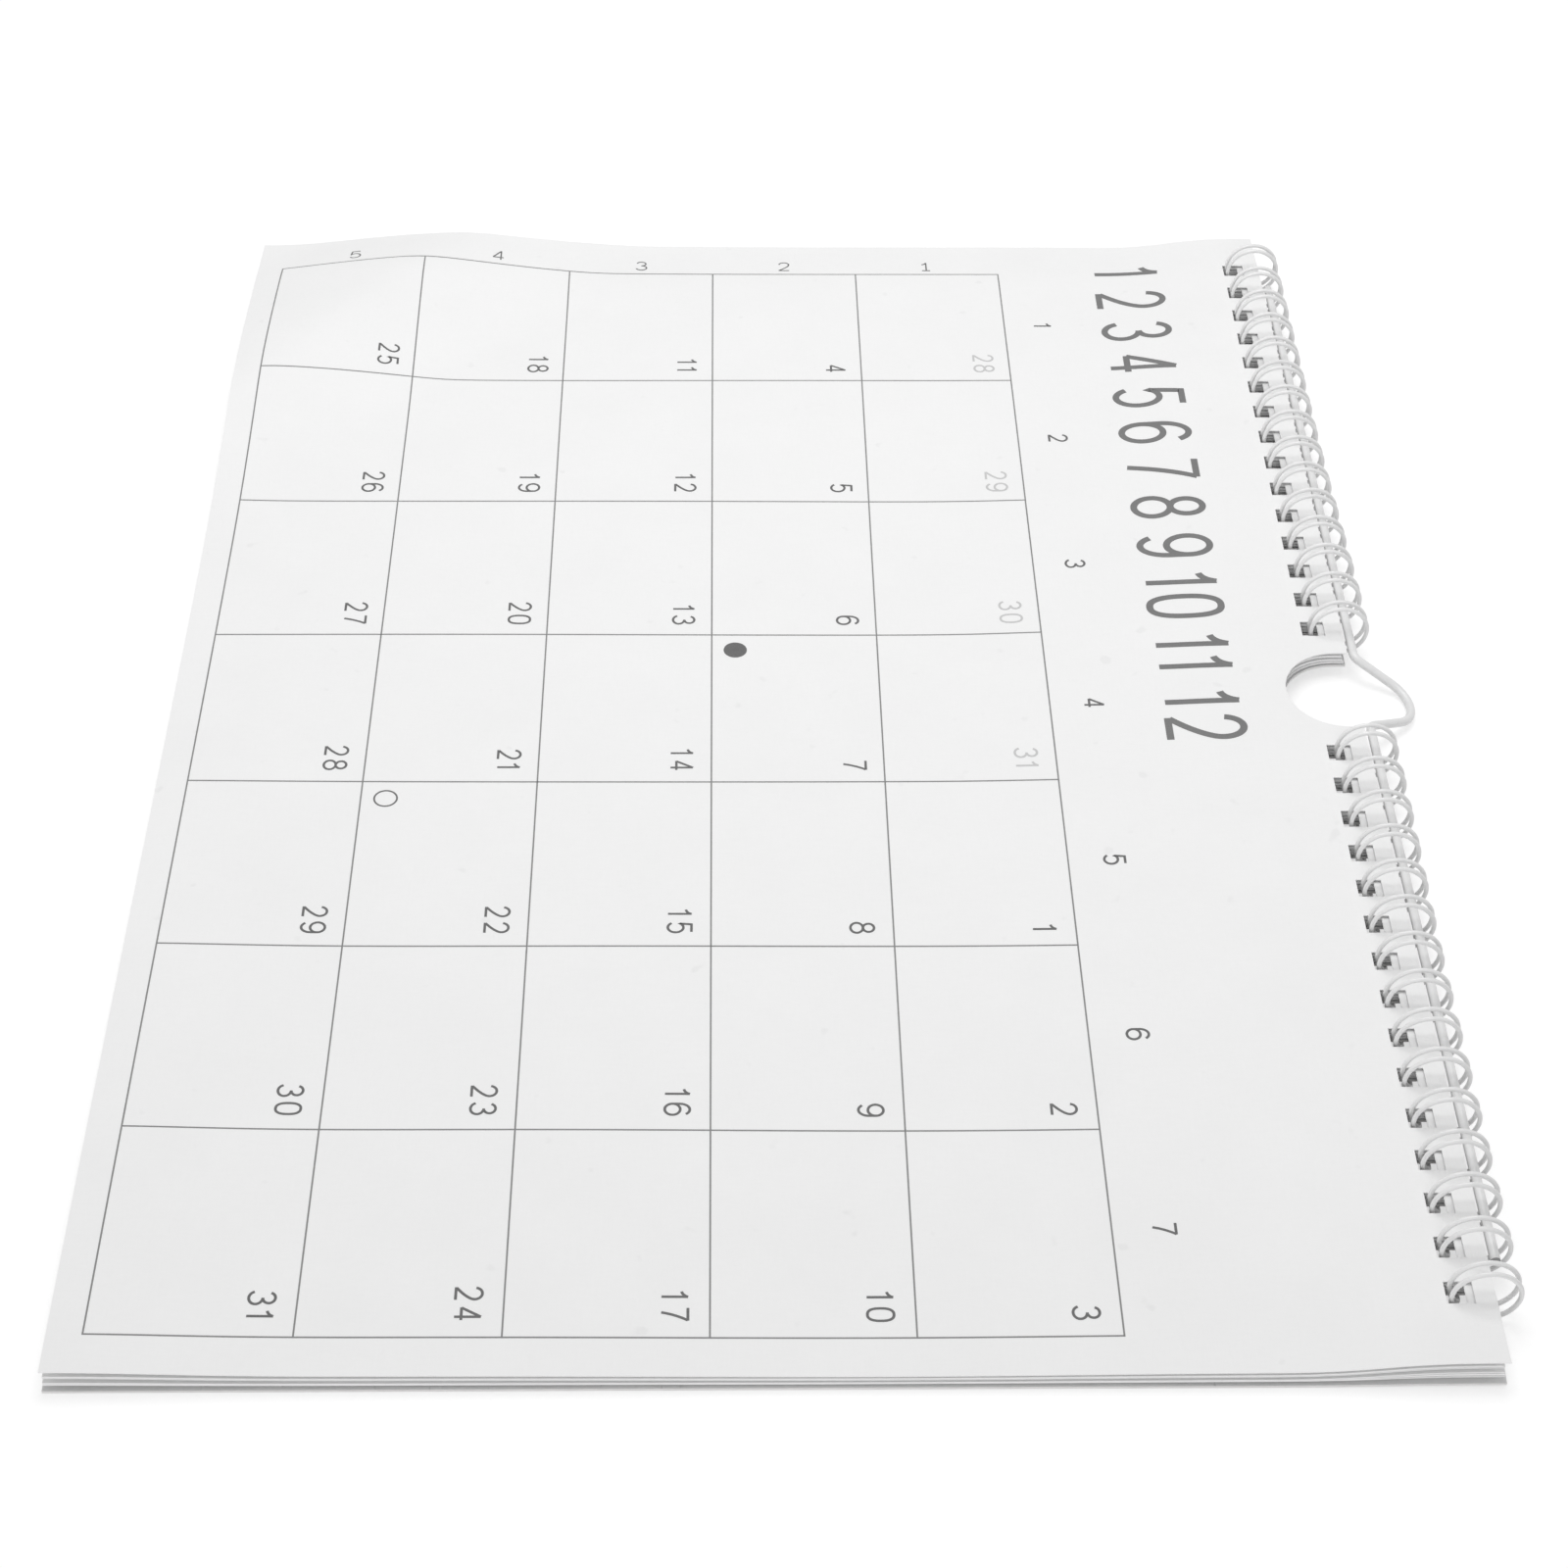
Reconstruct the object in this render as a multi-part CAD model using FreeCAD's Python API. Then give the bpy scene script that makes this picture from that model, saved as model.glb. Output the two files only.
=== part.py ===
"""Wall calendar: A4 landscape month sheets on a twin-loop wire binding with a wire hanger.

Millimetres, +Z up. The calendar lies on its back board: +X runs along the binding in
reading direction, +Y from the sheets' bottom edge to the binding. The origin is the
centre of the whole outline, in the plane that the board and the wire loops rest on.
"""
import FreeCAD, Part
import math
import os
from FreeCAD import Vector

# Sheets
SHEET_WIDTH = 297.0
SHEET_HEIGHT = 210.0
BOARD_THICKNESS = 0.45
BLOCK_THICKNESS = 2.25
FRONT_SHEET_THICKNESS = 0.2
FRONT_SHEET_GAP = 0.3

# Twin-loop binding wire
LOOP_PITCH = 25.4 / 3
LOOPS_LEFT_OUT = 3
LOOP_END_MARGIN = 12.0
WIRE_DIAMETER = 0.9
LEG_SPACING = 2.1
ROOT_BEND_RADIUS = 0.8
LOOP_END_ANGLE = -100.0
LOOP_ROOM = 1.9
HINGE_DROP = 0.45

# Punched holes, measured from the wire that passes through them
HOLE_SIDE_CLEARANCE = 0.5
HOLE_NEAR_CLEARANCE = 0.2
HOLE_FAR_CLEARANCE = 1.45
EDGE_PAST_RING_AXIS = 0.4

# Hanger
HANGER_DIAMETER = 1.6
HANGER_EDGE_CLEARANCE = 0.4
HANGER_BELOW_RING_AXIS = 0.05
HANGER_PAST_LOOP = 2.3
HUMP_HEIGHT = 10.0
HUMP_ANGLE = 60.0
HUMP_APEX_RADIUS = 6.2
HUMP_FOOT_RADIUS = 2.0

# Thumb notch, measured from the hump that swings through it
NOTCH_SIDE_ROOM = 0.65
NOTCH_END_ROOM = 2.8

# Rise of the sheets to the binding
FLAT_PAST_HOLES = 2.6
RISE_CLEARANCE = 4.7

# Print on the front sheet
GRID_COLUMNS = 7
GRID_ROWS = 5
GRID_LEFT_MARGIN = 11.8
GRID_RIGHT_MARGIN = 7.1
GRID_BOTTOM_MARGIN = 5.3
HEADER_HEIGHT = 54.7
GRID_LINE_WIDTH = 0.3
INK_THICKNESS = 0.02
TITLE_LEFT_MARGIN = 9.2
TITLE_BASE_TO_EDGE = 34.9
TITLE_HEIGHT = 14.4
TITLE_STROKE = 1.3
DIGIT_WIDTH = 7.0
DIGIT_GAP = 1.3
NUMBER_GAP = 5.0
MONTHS = 12
MOON_DIAMETER = 4.2
MOON_LINE_WIDTH = 0.3
MOON_INSET = 4.25
NEW_MOON_CELL = (3, 3)
FULL_MOON_CELL = (4, 1)

# Loops to each side of the notch: as many as the sheets have room for
FIRST_LOOP_X = LOOP_PITCH * (LOOPS_LEFT_OUT + 1) / 2
LOOPS_ROOM = SHEET_WIDTH / 2 - LOOP_END_MARGIN - FIRST_LOOP_X
LOOPS_PER_SIDE = 1 + int(LOOPS_ROOM / LOOP_PITCH)

# Stack and ring heights
WIRE_RADIUS = WIRE_DIAMETER / 2
BLOCK_BOTTOM = BOARD_THICKNESS
BLOCK_TOP = BLOCK_BOTTOM + BLOCK_THICKNESS
FRONT_SHEET_BOTTOM = BLOCK_TOP + FRONT_SHEET_GAP
FRONT_SHEET_TOP = FRONT_SHEET_BOTTOM + FRONT_SHEET_THICKNESS
RING_RADIUS = FRONT_SHEET_TOP + LOOP_ROOM
RING_AXIS_Z = RING_RADIUS + WIRE_RADIUS
FRONT_SHEET_MIDDLE = (FRONT_SHEET_BOTTOM + FRONT_SHEET_TOP) / 2
BINDING_RISE = RING_AXIS_Z - HINGE_DROP - FRONT_SHEET_MIDDLE
BOARD_BELOW_AXIS = RING_AXIS_Z - BINDING_RISE

# Hanger geometry, in the plane of its hump
HANGER_RADIUS = HANGER_DIAMETER / 2
HANGER_Z = RING_AXIS_Z - HANGER_BELOW_RING_AXIS - HANGER_RADIUS
HUMP_DROOP = math.degrees(math.asin((HANGER_Z - HANGER_RADIUS) / HUMP_HEIGHT))
HUMP_SIN = math.sin(math.radians(HUMP_ANGLE))
HUMP_COS = math.cos(math.radians(HUMP_ANGLE))
HUMP_BENDS_HEIGHT = (HUMP_FOOT_RADIUS + HUMP_APEX_RADIUS) * (1 - HUMP_COS)
HUMP_FLANK = (HUMP_HEIGHT - HUMP_BENDS_HEIGHT) / HUMP_SIN
HUMP_HALF_WIDTH = (HUMP_FOOT_RADIUS + HUMP_APEX_RADIUS) * HUMP_SIN + HUMP_FLANK * HUMP_COS
HUMP_CORNER_X = HUMP_HALF_WIDTH - HUMP_FOOT_RADIUS * math.tan(math.radians(HUMP_ANGLE / 2))

# Places along Y: the sheets' edges, the ring axis and the hanger
HANGER_PAST_RING_AXIS = EDGE_PAST_RING_AXIS + HANGER_EDGE_CLEARANCE + HANGER_RADIUS
HUMP_REACH = HUMP_HEIGHT * math.cos(math.radians(HUMP_DROOP)) + HANGER_RADIUS
OUTLINE_DEPTH = SHEET_HEIGHT - EDGE_PAST_RING_AXIS + HANGER_PAST_RING_AXIS + HUMP_REACH
SHEET_BOTTOM_Y = -OUTLINE_DEPTH / 2
BINDING_EDGE_Y = SHEET_BOTTOM_Y + SHEET_HEIGHT
RING_AXIS_Y = BINDING_EDGE_Y - EDGE_PAST_RING_AXIS
HANGER_Y = RING_AXIS_Y + HANGER_PAST_RING_AXIS

# Holes and notch
RING_INNER_RADIUS = RING_RADIUS - WIRE_RADIUS
HOLE_NEAR = math.sqrt(RING_INNER_RADIUS ** 2 - BOARD_BELOW_AXIS ** 2) - HOLE_NEAR_CLEARANCE
HOLE_FAR = RING_RADIUS + WIRE_RADIUS + HOLE_FAR_CLEARANCE
HOLE_WIDTH = LEG_SPACING + WIRE_DIAMETER + 2 * HOLE_SIDE_CLEARANCE
NOTCH_HALF_WIDTH = HUMP_CORNER_X + NOTCH_SIDE_ROOM
HUMP_INTO_SHEETS = HUMP_HEIGHT + HANGER_RADIUS - (HANGER_Y - BINDING_EDGE_Y)
NOTCH_DEPTH = HUMP_INTO_SHEETS + NOTCH_END_ROOM

# Rise: two equal tangent arcs, centred above and below the sheets
RISE_END_Y = RING_AXIS_Y - HOLE_FAR - FLAT_PAST_HOLES
GRID_TOP_Y = BINDING_EDGE_Y - HEADER_HEIGHT
RISE_START_Y = GRID_TOP_Y + RISE_CLEARANCE
RISE_RUN = RISE_END_Y - RISE_START_Y
RISE_ANGLE = 2 * math.atan(BINDING_RISE / RISE_RUN)
RISE_RADIUS = RISE_RUN / (2 * math.sin(RISE_ANGLE))

# Print
GRID_LEFT_X = -SHEET_WIDTH / 2 + GRID_LEFT_MARGIN
GRID_RIGHT_X = SHEET_WIDTH / 2 - GRID_RIGHT_MARGIN
GRID_BOTTOM_Y = SHEET_BOTTOM_Y + GRID_BOTTOM_MARGIN
CELL_WIDTH = (GRID_RIGHT_X - GRID_LEFT_X) / GRID_COLUMNS
CELL_HEIGHT = (GRID_TOP_Y - GRID_BOTTOM_Y) / GRID_ROWS
TITLE_X = -SHEET_WIDTH / 2 + TITLE_LEFT_MARGIN
TITLE_Y = BINDING_EDGE_Y - TITLE_BASE_TO_EDGE

# Title digits, along the middle of their strokes: round ends and straight sides
STROKE_WIDTH_X = DIGIT_WIDTH - TITLE_STROKE
STROKE_HEIGHT = TITLE_HEIGHT - TITLE_STROKE
ROUND = STROKE_WIDTH_X / 2
LOW_ROUND = STROKE_HEIGHT * 0.27
HIGH_ROUND = STROKE_HEIGHT / 2 - LOW_ROUND

# Tall enough to cut through the whole stack
CUT_BOTTOM_Z = -1.0
CUT_HEIGHT = RING_AXIS_Z + 5.0

ALONG_X = Vector(1, 0, 0)


class Wire:
    """A round wire that is bent step by step from its first cut end."""

    def __init__(self, start, heading, radius):
        self.point = start
        self.heading = heading
        self.section = Part.Edge(Part.Circle(start, heading, radius))
        self.faces = [self.end_face()]

    def end_face(self):
        return Part.Face(Part.Wire([self.section]))

    def straight(self, length):
        """Run straight on."""
        step = self.heading * length
        self.faces.append(self.section.extrude(step))
        self.section = self.section.translated(step)
        self.point = self.point + step

    def bend(self, axis, radius, angle):
        """Bend by an angle in degrees about an axis at right angles to the wire."""
        centre = self.point + axis.cross(self.heading) * radius
        turn = FreeCAD.Rotation(axis, angle)
        self.faces.append(self.section.revolve(centre, axis, angle))
        self.section = self.section.rotated(centre, axis, angle)
        self.point = centre + turn.multVec(self.point - centre)
        self.heading = turn.multVec(self.heading)

    def solid(self):
        """Close the cut end and join the faces into a solid."""
        self.faces.append(self.end_face())
        skin = Part.Compound(self.faces)
        skin.sewShape()
        body = Part.Solid(skin.Shells[0])
        if body.Volume < 0:
            body.reverse()
        return body


def rise_curve(level):
    """Edges of one line through the stack, at a height above its underside, bottom edge first."""
    def low_arc(angle):
        radius = RISE_RADIUS - level
        return Vector(0, RISE_START_Y + radius * math.sin(angle),
                      RISE_RADIUS - radius * math.cos(angle))

    def high_arc(angle):
        radius = RISE_RADIUS + level
        return Vector(0, RISE_END_Y - radius * math.sin(angle),
                      BINDING_RISE - RISE_RADIUS + radius * math.cos(angle))

    start = Vector(0, SHEET_BOTTOM_Y, level)
    end = Vector(0, BINDING_EDGE_Y, BINDING_RISE + level)
    middle = low_arc(RISE_ANGLE)
    return [
        Part.LineSegment(start, low_arc(0)).toShape(),
        Part.Arc(low_arc(0), low_arc(RISE_ANGLE / 2), middle).toShape(),
        Part.Arc(middle, high_arc(RISE_ANGLE / 2), high_arc(0)).toShape(),
        Part.LineSegment(high_arc(0), end).toShape(),
    ]


def layer(bottom, top):
    """A plain layer of the stack between two levels, over the sheets' whole width."""
    low = rise_curve(bottom)
    high = rise_curve(top)
    sides = [
        Part.LineSegment(low[0].valueAt(low[0].FirstParameter),
                         high[0].valueAt(high[0].FirstParameter)).toShape(),
        Part.LineSegment(low[-1].valueAt(low[-1].LastParameter),
                         high[-1].valueAt(high[-1].LastParameter)).toShape(),
    ]
    outline = Part.Wire(Part.__sortEdges__(low + high + sides))
    face = Part.Face(outline).translated(Vector(-SHEET_WIDTH / 2, 0, 0))
    return face.extrude(Vector(SHEET_WIDTH, 0, 0))


def loop_positions(side):
    """X of each loop on one side of the notch, -1 for the left and 1 for the right, by rising X."""
    places = [side * (FIRST_LOOP_X + LOOP_PITCH * i) for i in range(LOOPS_PER_SIDE)]
    return sorted(places)


def hole_punches():
    """Rectangular punches, one for each loop."""
    depth = HOLE_FAR - HOLE_NEAR
    return [Part.makeBox(HOLE_WIDTH, depth, CUT_HEIGHT,
                         Vector(x - HOLE_WIDTH / 2, RING_AXIS_Y - HOLE_FAR, CUT_BOTTOM_Z))
            for x in loop_positions(-1) + loop_positions(1)]


def notch_punch():
    """Punch of the thumb notch: straight sides and a round end."""
    round_y = BINDING_EDGE_Y - (NOTCH_DEPTH - NOTCH_HALF_WIDTH)
    mouth_y = BINDING_EDGE_Y + NOTCH_HALF_WIDTH
    left = -NOTCH_HALF_WIDTH
    right = NOTCH_HALF_WIDTH
    corners = [Vector(left, round_y, CUT_BOTTOM_Z), Vector(left, mouth_y, CUT_BOTTOM_Z),
               Vector(right, mouth_y, CUT_BOTTOM_Z), Vector(right, round_y, CUT_BOTTOM_Z)]
    end = Vector(0, round_y - NOTCH_HALF_WIDTH, CUT_BOTTOM_Z)
    outline = Part.Wire([
        Part.LineSegment(corners[0], corners[1]).toShape(),
        Part.LineSegment(corners[1], corners[2]).toShape(),
        Part.LineSegment(corners[2], corners[3]).toShape(),
        Part.Arc(corners[3], end, corners[0]).toShape(),
    ])
    return Part.Face(outline).extrude(Vector(0, 0, CUT_HEIGHT))


def punched_layer(bottom, top, punches):
    """A layer of the stack with its holes and notch."""
    return layer(bottom, top).cut(punches)


def binding_wire(side):
    """One half of the binding: a single wire that forms a twin loop at each hole."""
    start_angle = 180 + math.degrees(math.asin(BOARD_BELOW_AXIS / RING_RADIUS))
    turn = start_angle - LOOP_END_ANGLE

    def outward(angle):
        return Vector(0, math.cos(math.radians(angle)), math.sin(math.radians(angle)))

    start_out = outward(start_angle)
    end_out = outward(LOOP_END_ANGLE)
    bridge = LOOP_PITCH - LEG_SPACING - 2 * ROOT_BEND_RADIUS
    positions = loop_positions(side)

    ring_axis = Vector(positions[0], RING_AXIS_Y, RING_AXIS_Z)
    leg_foot = ring_axis + start_out * RING_RADIUS + Vector(-LEG_SPACING / 2, 0, 0)
    leg_heading = start_out.cross(ALONG_X)
    root = leg_foot - leg_heading * ROOT_BEND_RADIUS
    wire = Wire(root - ALONG_X * (ROOT_BEND_RADIUS + bridge / 2), ALONG_X, WIRE_RADIUS)
    wire.straight(bridge / 2)
    for index in range(len(positions)):
        wire.bend(start_out, ROOT_BEND_RADIUS, 90)
        wire.bend(-ALONG_X, RING_RADIUS, turn)
        wire.bend(-end_out, LEG_SPACING / 2, 180)
        wire.bend(ALONG_X, RING_RADIUS, turn)
        wire.bend(start_out, ROOT_BEND_RADIUS, 90)
        last = index == len(positions) - 1
        wire.straight(bridge / 2 if last else bridge)
    return wire.solid()


def hanger_wire():
    """The hanger: a straight rod inside the loops, bent to a drooping hump in the notch."""
    droop = math.radians(HUMP_DROOP)
    towards_hump = Vector(0, math.cos(droop), -math.sin(droop))
    normal = ALONG_X.cross(towards_hump)
    half_length = sorted(loop_positions(1))[-2] + HANGER_PAST_LOOP
    straight = half_length - HUMP_HALF_WIDTH
    wire = Wire(Vector(-half_length, HANGER_Y, HANGER_Z), ALONG_X, HANGER_RADIUS)
    wire.straight(straight)
    wire.bend(normal, HUMP_FOOT_RADIUS, HUMP_ANGLE)
    wire.straight(HUMP_FLANK)
    wire.bend(-normal, HUMP_APEX_RADIUS, 2 * HUMP_ANGLE)
    wire.straight(HUMP_FLANK)
    wire.bend(normal, HUMP_FOOT_RADIUS, HUMP_ANGLE)
    wire.straight(straight)
    return wire.solid()


def bar(x, y, width, height):
    """Upright prism over a rectangle of the page, from its lower left corner."""
    return Part.makeBox(width, height, CUT_HEIGHT, Vector(x, y, CUT_BOTTOM_Z))


def disc(x, y, radius):
    """Upright prism over a disc of the page."""
    return Part.makeCylinder(radius, CUT_HEIGHT, Vector(x, y, CUT_BOTTOM_Z))


def grid_bars():
    """Lines of the month grid."""
    half = GRID_LINE_WIDTH / 2
    width = GRID_RIGHT_X - GRID_LEFT_X + GRID_LINE_WIDTH
    height = GRID_TOP_Y - GRID_BOTTOM_Y + GRID_LINE_WIDTH
    upright = [bar(GRID_LEFT_X + CELL_WIDTH * i - half, GRID_BOTTOM_Y - half,
                   GRID_LINE_WIDTH, height) for i in range(GRID_COLUMNS + 1)]
    level = [bar(GRID_LEFT_X - half, GRID_BOTTOM_Y + CELL_HEIGHT * i - half,
                 width, GRID_LINE_WIDTH) for i in range(GRID_ROWS + 1)]
    return upright + level


def moon_marks():
    """A filled disc and an outlined one, each in the lower left corner of its cell."""
    radius = MOON_DIAMETER / 2

    def centre(cell):
        column, row = cell
        return (GRID_LEFT_X + CELL_WIDTH * column + MOON_INSET,
                GRID_BOTTOM_Y + CELL_HEIGHT * row + MOON_INSET)

    new = disc(*centre(NEW_MOON_CELL), radius)
    full = disc(*centre(FULL_MOON_CELL), radius)
    return [new, full.cut(disc(*centre(FULL_MOON_CELL), radius - MOON_LINE_WIDTH))]


def line_stroke(x, y, to_x, to_y):
    """Prism over a straight stroke with square ends, a stroke's width wide."""
    length = math.hypot(to_x - x, to_y - y)
    stroke = bar(x, y - TITLE_STROKE / 2, length, TITLE_STROKE)
    angle = math.degrees(math.atan2(to_y - y, to_x - x))
    return stroke.rotated(Vector(x, y, 0), Vector(0, 0, 1), angle)


def arc_stroke(x, y, radius, start, sweep):
    """Prism over a round stroke about a centre, from a start angle through a sweep in degrees."""
    foot = Vector(x, y, CUT_BOTTOM_Z)
    up = Vector(0, 0, 1)
    outside = Part.makeCylinder(radius + TITLE_STROKE / 2, CUT_HEIGHT, foot, up, sweep)
    inside = Part.makeCylinder(radius - TITLE_STROKE / 2, CUT_HEIGHT, foot, up)
    return outside.cut(inside).rotated(Vector(x, y, 0), up, start)


def digit_strokes(digit, x, y):
    """Strokes of one plain digit, from its lower left corner."""
    width = STROKE_WIDTH_X
    height = STROKE_HEIGHT
    low = y + ROUND
    high = y + height - ROUND
    middle = x + ROUND
    stem = x + width * 0.72
    crossing = y + height * 0.27
    if digit == 0:
        return [arc_stroke(middle, high, ROUND, 0, 180), arc_stroke(middle, low, ROUND, 180, 180),
                line_stroke(x, low, x, high), line_stroke(x + width, low, x + width, high)]
    if digit == 1:
        flag = height * 0.2
        return [line_stroke(stem, y - TITLE_STROKE / 2, stem, y + height + TITLE_STROKE / 2),
                line_stroke(stem - flag, y + height - flag, stem, y + height)]
    if digit == 2:
        turn = math.radians(-30)
        return [arc_stroke(middle, high, ROUND, -30, 200),
                line_stroke(middle + ROUND * math.cos(turn), high + ROUND * math.sin(turn), x, y),
                line_stroke(x - TITLE_STROKE / 2, y, x + width + TITLE_STROKE / 2, y)]
    if digit == 3:
        return [arc_stroke(middle, y + height - HIGH_ROUND, HIGH_ROUND, -90, 250),
                arc_stroke(middle, y + LOW_ROUND, LOW_ROUND, -160, 250)]
    if digit == 4:
        return [line_stroke(stem, y - TITLE_STROKE / 2, stem, y + height + TITLE_STROKE / 2),
                line_stroke(x, crossing, x + width + TITLE_STROKE / 2, crossing),
                line_stroke(x, crossing, stem, y + height)]
    if digit == 5:
        turn = math.radians(140)
        return [arc_stroke(middle, low, ROUND, -160, 300),
                line_stroke(middle + ROUND * math.cos(turn), low + ROUND * math.sin(turn),
                            x + TITLE_STROKE / 2, y + height),
                line_stroke(x, y + height, x + width, y + height)]
    if digit == 6:
        return [arc_stroke(middle, low, ROUND, 0, 360), line_stroke(x, low, x, high),
                arc_stroke(middle, high, ROUND, 30, 150)]
    if digit == 7:
        return [line_stroke(x, y + height, x + width + TITLE_STROKE / 2, y + height),
                line_stroke(x + width, y + height, x + width * 0.3, y - TITLE_STROKE / 2)]
    if digit == 8:
        return [arc_stroke(middle, y + height - HIGH_ROUND, HIGH_ROUND, 0, 360),
                arc_stroke(middle, y + LOW_ROUND, LOW_ROUND, 0, 360)]
    return [arc_stroke(middle, high, ROUND, 0, 360), line_stroke(x + width, low, x + width, high),
            arc_stroke(middle, low, ROUND, -150, 150)]


def title_marks():
    """The plain numbers 1 to 12 for the months, in a row where a month sheet has its title."""
    marks = []
    x = TITLE_X + TITLE_STROKE / 2
    y = TITLE_Y + TITLE_STROKE / 2
    for month in range(1, MONTHS + 1):
        for letter in str(month):
            narrow = STROKE_WIDTH_X * 0.4 if letter == "1" else 0
            strokes = digit_strokes(int(letter), x - narrow, y)
            marks.append(strokes[0].fuse(strokes[1:]))
            x += DIGIT_WIDTH - narrow + DIGIT_GAP
        x += NUMBER_GAP - DIGIT_GAP
    return marks


def printed_month():
    """The print, a thin skin of ink on the front sheet that follows its rise."""
    prisms = grid_bars()
    lattice = prisms[0].fuse(prisms[1:])
    ink = layer(FRONT_SHEET_TOP, FRONT_SHEET_TOP + INK_THICKNESS)
    return ink.common(Part.Compound([lattice] + moon_marks() + title_marks()))


def main():
    os.makedirs("parts", exist_ok=True)
    punches = hole_punches() + [notch_punch()]
    parts = {
        "back_board": punched_layer(0, BOARD_THICKNESS, punches),
        "month_sheets": punched_layer(BLOCK_BOTTOM, BLOCK_TOP, punches),
        "front_sheet": punched_layer(FRONT_SHEET_BOTTOM, FRONT_SHEET_TOP, punches),
        "printed_month": printed_month(),
        "binding_wire_left": binding_wire(-1),
        "binding_wire_right": binding_wire(1),
        "hanger_wire": hanger_wire(),
    }
    for name, shape in parts.items():
        shape.exportStep("parts/" + name + ".step")
        box = shape.BoundBox
        print("%-20s valid %s solids %d faces %d volume %.2f  X %.2f %.2f  Y %.2f %.2f  Z %.2f %.2f" % (
            name, shape.isValid(), len(shape.Solids), len(shape.Faces), shape.Volume,
            box.XMin, box.XMax, box.YMin, box.YMax, box.ZMin, box.ZMax))
    print("ring axis Y %.3f Z %.3f, hanger axis Y %.3f Z %.3f, droop %.2f" % (
        RING_AXIS_Y, RING_AXIS_Z, HANGER_Y, HANGER_Z, HUMP_DROOP))
    print("binding edge Y %.3f, hole near %.3f far %.3f, notch half width %.3f depth %.3f" % (
        BINDING_EDGE_Y, HOLE_NEAR, HOLE_FAR, NOTCH_HALF_WIDTH, NOTCH_DEPTH))


main()
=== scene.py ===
"""Visual model of a landscape wall calendar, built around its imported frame.

The calendar lies on its back board. +X runs along the binding in reading direction, +Y from
the sheets' bottom edge to the binding and +Z out of the printed face. Sizes in the classes are
millimetres, apart from what the finishes and the studio's lamps and glow say in metres, and the
meshes are metres.
"""
from __future__ import annotations

import logging
import math
from collections.abc import Callable, Iterable
from dataclasses import dataclass, replace
from enum import Enum
from functools import partial

import bpy
import numpy as np
from mathutils import Matrix, Vector

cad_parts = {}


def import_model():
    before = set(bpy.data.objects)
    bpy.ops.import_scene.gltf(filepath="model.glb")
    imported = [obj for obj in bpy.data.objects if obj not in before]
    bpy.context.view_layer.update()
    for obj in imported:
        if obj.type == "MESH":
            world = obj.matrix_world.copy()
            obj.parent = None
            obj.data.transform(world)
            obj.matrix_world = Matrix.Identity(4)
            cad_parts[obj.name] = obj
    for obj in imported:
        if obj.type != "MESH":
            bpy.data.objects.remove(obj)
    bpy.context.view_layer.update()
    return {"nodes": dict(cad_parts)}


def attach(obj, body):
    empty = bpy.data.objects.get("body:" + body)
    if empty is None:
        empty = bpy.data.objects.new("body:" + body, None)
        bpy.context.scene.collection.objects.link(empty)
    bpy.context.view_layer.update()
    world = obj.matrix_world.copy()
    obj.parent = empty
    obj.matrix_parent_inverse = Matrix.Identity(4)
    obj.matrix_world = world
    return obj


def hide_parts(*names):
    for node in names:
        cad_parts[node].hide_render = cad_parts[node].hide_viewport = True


# Metres in a millimetre, then what several pieces share, in millimetres and degrees.
MM = 0.001
HALF_WIDTH = 148.5
LOOP_PITCH = 25.4 / 3
FIRST_LOOP = 2 * LOOP_PITCH
LOOPS_PER_SIDE = 15
SHARP_ANGLE = 40.0

Array = np.ndarray
Color = tuple[float, float, float, float]
Socket = bpy.types.NodeSocket

log = logging.getLogger("wall_calendar")


def grey(level: float, warmth: float = 0.0) -> Color:
    """A grey of a linear level, a little warmer or cooler."""
    return (level * (1 + warmth), level, level * (1 - warmth), 1.0)


def smooth_step(value: Array, start: float, end: float) -> Array:
    """Smooth ramp from 0 at start to 1 at end: 3t^2 - 2t^3 of the clipped fraction t."""
    t = np.clip((value - start) / (end - start), 0.0, 1.0)
    return t * t * (3.0 - 2.0 * t)


def bell(value: Array, centre: float, width: float) -> Array:
    """Bell curve of height 1: e to the minus square of the distance in widths."""
    return np.exp(-((value - centre) / width) ** 2)


# Materials

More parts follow.
